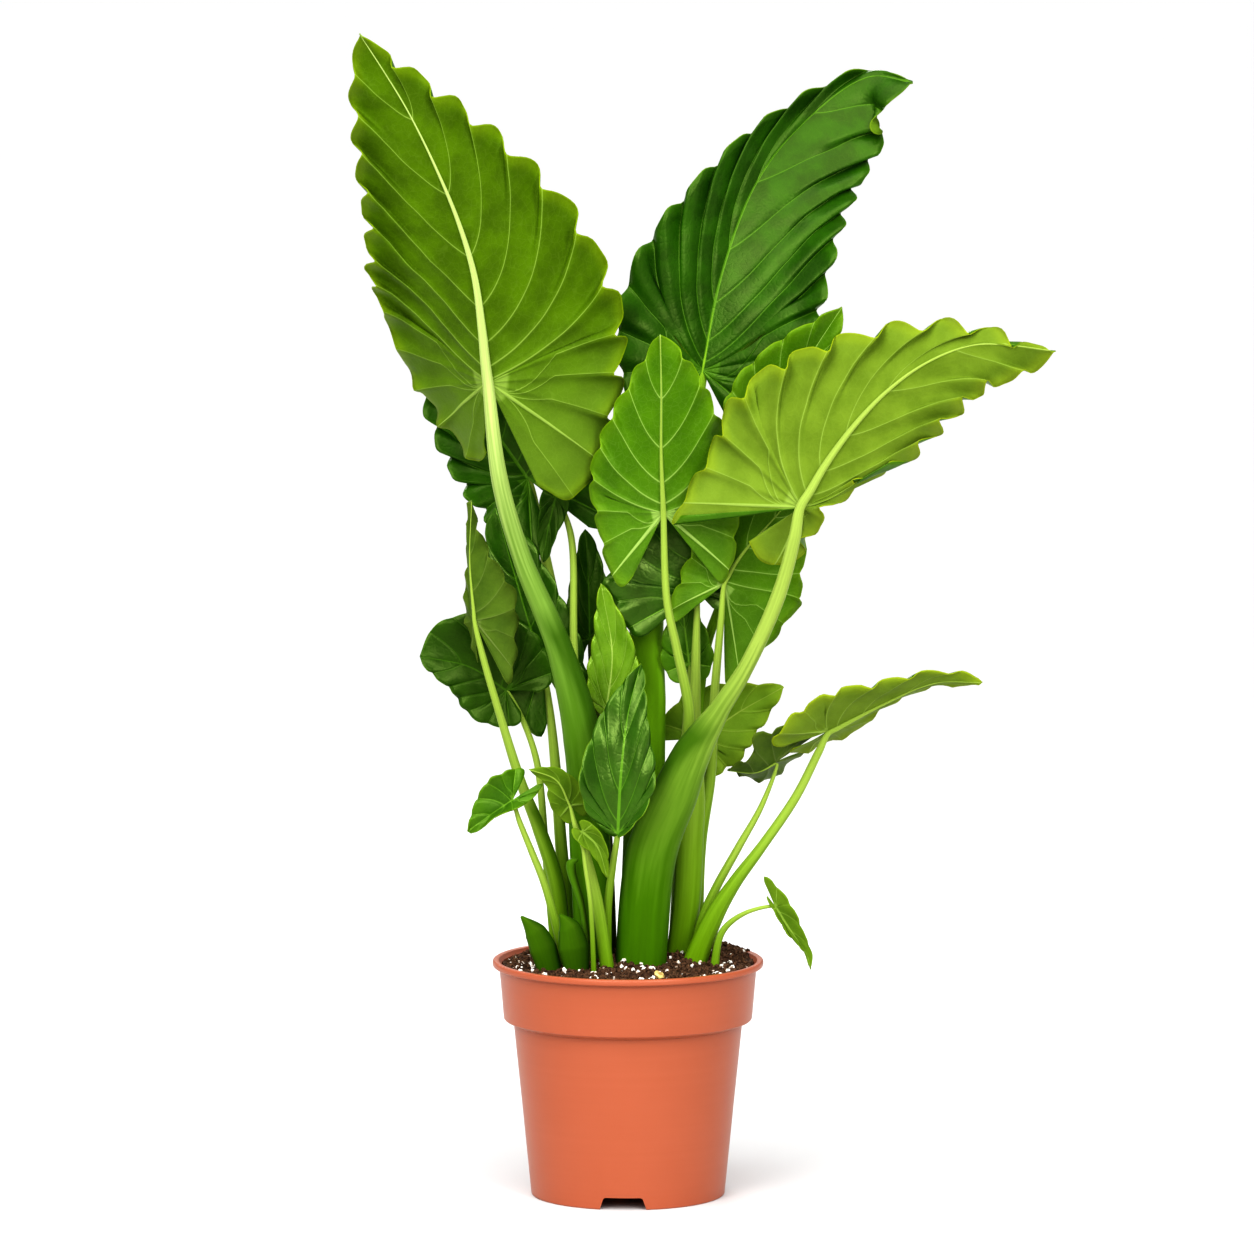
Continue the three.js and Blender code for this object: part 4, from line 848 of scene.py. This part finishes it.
def stalk_material(name, foot, top, shadow, stops=(0.18, 0.38, 0.62)):
    """A stalk's skin: green at the foot, paler upwards, with fine long streaks and painted shade beside the
    sheath's edge.
    """
    material, tree, shader = new_material("stalk_" + name, 0.48, 0.22)
    shader.inputs["Specular Tint"].default_value = (0.8, 1.0, 0.15, 1)
    stretch = tree.nodes.new("ShaderNodeMapping")
    stretch.inputs["Scale"].default_value = (19, 1.0, 1)
    tree.links.new(flat_place(tree, "round_up"), stretch.inputs["Vector"])
    streaks = noise(tree, stretch.outputs["Vector"], 1.0, detail=5.0)
    uneven = worked(tree, "MULTIPLY_ADD", streaks, 0.20, attribute(tree, "height"))
    half = tuple(0.72 * low + 0.28 * high for low, high in zip(foot, top))
    streaked = tree.nodes.new("ShaderNodeHueSaturation")
    tree.links.new(colour_ramp(tree, uneven, *zip(stops, (foot, half, top))), streaked.inputs["Color"])
    tree.links.new(ranged(tree, streaks, 0.38, 0.62, 0.93, 1.10, "LINEAR"), streaked.inputs["Value"])
    # Painted shade: the skin darkens towards the shadow colour beside the sheath's edge.
    sheath_shade_share = worked(tree, "MULTIPLY", attribute(tree, "sheath_shade"), 0.8)
    colour = mixed(tree, streaked.outputs["Color"], shadow, sheath_shade_share)
    tree.links.new(colour, shader.inputs["Base Color"])
    add_relief(tree, shader, streaks, 0.12, 0.0006)
    return material

# Looks of a stalk: colours at the foot, at the top and of the painted shade beside the sheath's edge; for
# some, how high up the foot's colour, a blend and the top's colour stand.
skins = {
    "cream": ((0.056, 0.155, 0.001), (0.39, 0.49, 0.16), (0.022, 0.074, 0.001), (0.27, 0.54, 0.73)),
    "fleshy": ((0.048, 0.135, 0.001), (0.29, 0.39, 0.08), (0.026, 0.085, 0.001), (0.21, 0.38, 0.57)),
    "broad": ((0.115, 0.27, 0.003), (0.2, 0.36, 0.025), (0.07, 0.17, 0.002)),
    "lime": ((0.12, 0.24, 0.004), (0.25, 0.35, 0.06), (0.05, 0.12, 0.002)),
    "leafy": ((0.07, 0.18, 0.001), (0.14, 0.26, 0.01), (0.03, 0.09, 0.001)),
    "brown": ((0.042, 0.05, 0.008), (0.05, 0.078, 0.012), (0.02, 0.03, 0.006)),
    "scale": ((0.034, 0.1, 0.001), (0.04, 0.105, 0.002), (0.018, 0.056, 0.001)),
    "spear": ((0.05, 0.07, 0.008), (0.07, 0.17, 0.008), (0.03, 0.06, 0.004)),
}
stalk_materials = {name: stalk_material(name, *look) for name, look in skins.items()}

line_steps = 24  # points of a smooth line between two given ones

def tube(name, line, wide, deep, sides, ring_gap, sheath):
    """A closed stem along a line of points, with its widths across the view and in depth at each.

    A sheath is where it ends as a share of the height, the turns in degrees at which its free edge
    stands at the foot and at its end, how thick it laps, and which way round.
    """
    points, far = line
    rings = max(6, round(far[-1] / ring_gap))
    piece, row, column = new_grid(name, sides, rings + 2)
    share = np.clip((row - 1) / rings, 0, 1)
    centre = on_line(points, far, share * far[-1])
    ahead = unit(on_line(unit(np.gradient(points, axis=0)), far, share * far[-1]))
    across = unit(np.cross(np.array([0.0, 1.0, 0.0]), ahead))
    front = -np.cross(across, ahead)
    turn = 2 * math.pi * column / sides
    closed = np.where((row == 0) | (row == rings + 2), 0.0, 1.0)
    half_wide = np.interp(share, np.linspace(0, 1, len(wide)), wide) / 2
    half_deep = np.interp(share, np.linspace(0, 1, len(deep)), deep) / 2
    grow, sheath_shade = 0.0, np.zeros(len(row))
    if sheath:
        top, foot_turn, top_turn, lap, way = sheath
        up = np.clip(share / top, 0, 1)
        past = way * (np.degrees(turn) - foot_turn - (top_turn - foot_turn) * up ** 5)
        past = (past + 180) % 360 - 180
        fade = np.clip((1 - up) * 4, 0, 1)
        grow = lap * fade * np.where(past >= 0, np.exp(-past / 70), 0.0)
        # The share of painted shade beside the sheath's free edge, kept for the skin's colour.
        inward = np.radians(past) * half_wide
        sheath_shade = np.clip(inward / 4, 0, 1) * np.clip((170 - past) / 40, 0, 1) * np.clip((1 - up) * 12, 0, 1)
        sheath_shade = np.where(past >= 0, sheath_shade, 0.0)
    sideways = across * (np.sin(turn) * closed * (half_wide + grow))[:, None]
    forwards = front * (np.cos(turn) * closed * (half_deep + grow))[:, None]
    piece.data.vertices.foreach_set("co", ((centre + sideways + forwards) * 0.001).ravel())
    keep_number(piece.data, "height", share)
    keep_number(piece.data, "sheath_shade", sheath_shade)
    keep_places(piece.data, "round_up", np.stack([column / sides, share * far[-1] / 100], 1))
    bpy.ops.object.mode_set(mode="EDIT")
    bpy.ops.mesh.select_all(action="SELECT")
    bpy.ops.mesh.remove_doubles(threshold=1e-6)
    close_shell()
    bpy.ops.object.shade_smooth()
    return piece

def buried(route, depth=22):
    """A route that starts under the peat's surface."""
    (x, y, z, width), (next_x, next_y, next_z, _) = route[:2]
    lean = 0.5 * depth / (next_z - z)
    end = (x - (next_x - x) * lean, y - (next_y - y) * lean, 1000 * soil_level - depth, width * 0.9)
    return [end, *route]

def make_stalk(name, leaf):
    """The stalk up to the junction, and on as a tapering midrib sunk in the blade's underside."""
    route = buried(leaf["stalk"])
    rib_width = min(route[-1][3] * 0.9, 1 + 0.026 * leaf["length"])
    shares = np.array([0.0, 0.06, 0.15, 0.3, 0.45, 0.6, 0.75, 0.88, 0.985])
    point, ahead, up, _ = rib_frame(leaf, shares * leaf["length"])
    widths = np.maximum(rib_width * (1 - shares) ** 1.6, 0.8)
    below = point - up * (0.3 * widths + 0.3)[:, None]
    path = np.vstack([np.array(route)[:, :3], below])
    wide = np.concatenate([np.array(route)[:, 3], widths])
    stem_deep = np.minimum(wide, 0.6 * wide + 5)
    deep = np.concatenate([stem_deep[:len(route)], 0.8 * widths])
    line, far = smooth_line(path, steps=line_steps)
    at = np.arange(len(line)) / line_steps
    even = np.interp(np.linspace(0, far[-1], 400), far, at)
    wide = np.interp(even, np.arange(len(wide)), wide)
    deep = np.interp(even, np.arange(len(deep)), deep)
    thick = leaf["stalk"][0][3]
    sides = 56 if thick > 20 else 28 if thick > 9 else 18
    piece = tube("stalk_" + name + "_fine", (line, far), wide, deep, sides, ring_gap=2.5,
                 sheath=leaf["sheath"])
    piece.data.materials.append(stalk_materials[leaf["skin"]])
    return piece

for name, leaf in grown.items():
    stalk = make_stalk(name, leaf)
    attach(stalk, "root")
    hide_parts("stalk_" + name)

# ---------- short leaves at the foot
# Two short pointed sheathing leaves and a rolled young spear, which stand up out of the peat on the left.

short_leaves = {
    "scale_leaf_left": ((-69, -42, 205, 21), (-75, -43, 226, 24), (-82, -44, 241, 19), (-94, -45, 255, 2)),
    "scale_leaf_right": ((-45, -50, 205, 21), (-48, -51, 228, 27), (-52, -52, 246, 20), (-60, -53, 258, 2)),
    "spear": ((-34, -31, 205, 6), (-40, -32, 258, 5), (-50, -33, 300, 9), (-44, -34, 304, 2)),
}
for name, route in short_leaves.items():
    path = buried(route)
    line, far = smooth_line([point[:3] for point in path], steps=line_steps)
    at = np.interp(np.linspace(0, far[-1], 200), far, np.arange(len(line)) / line_steps)
    width = np.interp(at, np.arange(len(path)), [point[3] for point in path])
    piece = tube(name + "_fine", (line, far), width, np.minimum(width, 0.5 * width + 2), sides=24,
                 ring_gap=1.5, sheath=(0.96, 20, -10, 0.8, 1))
    skin = "young" if name == "spear" else "deep"
    piece.data.materials.append(stalk_materials["spear" if skin == "young" else "scale"])
    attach(piece, "root")
    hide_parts(name)
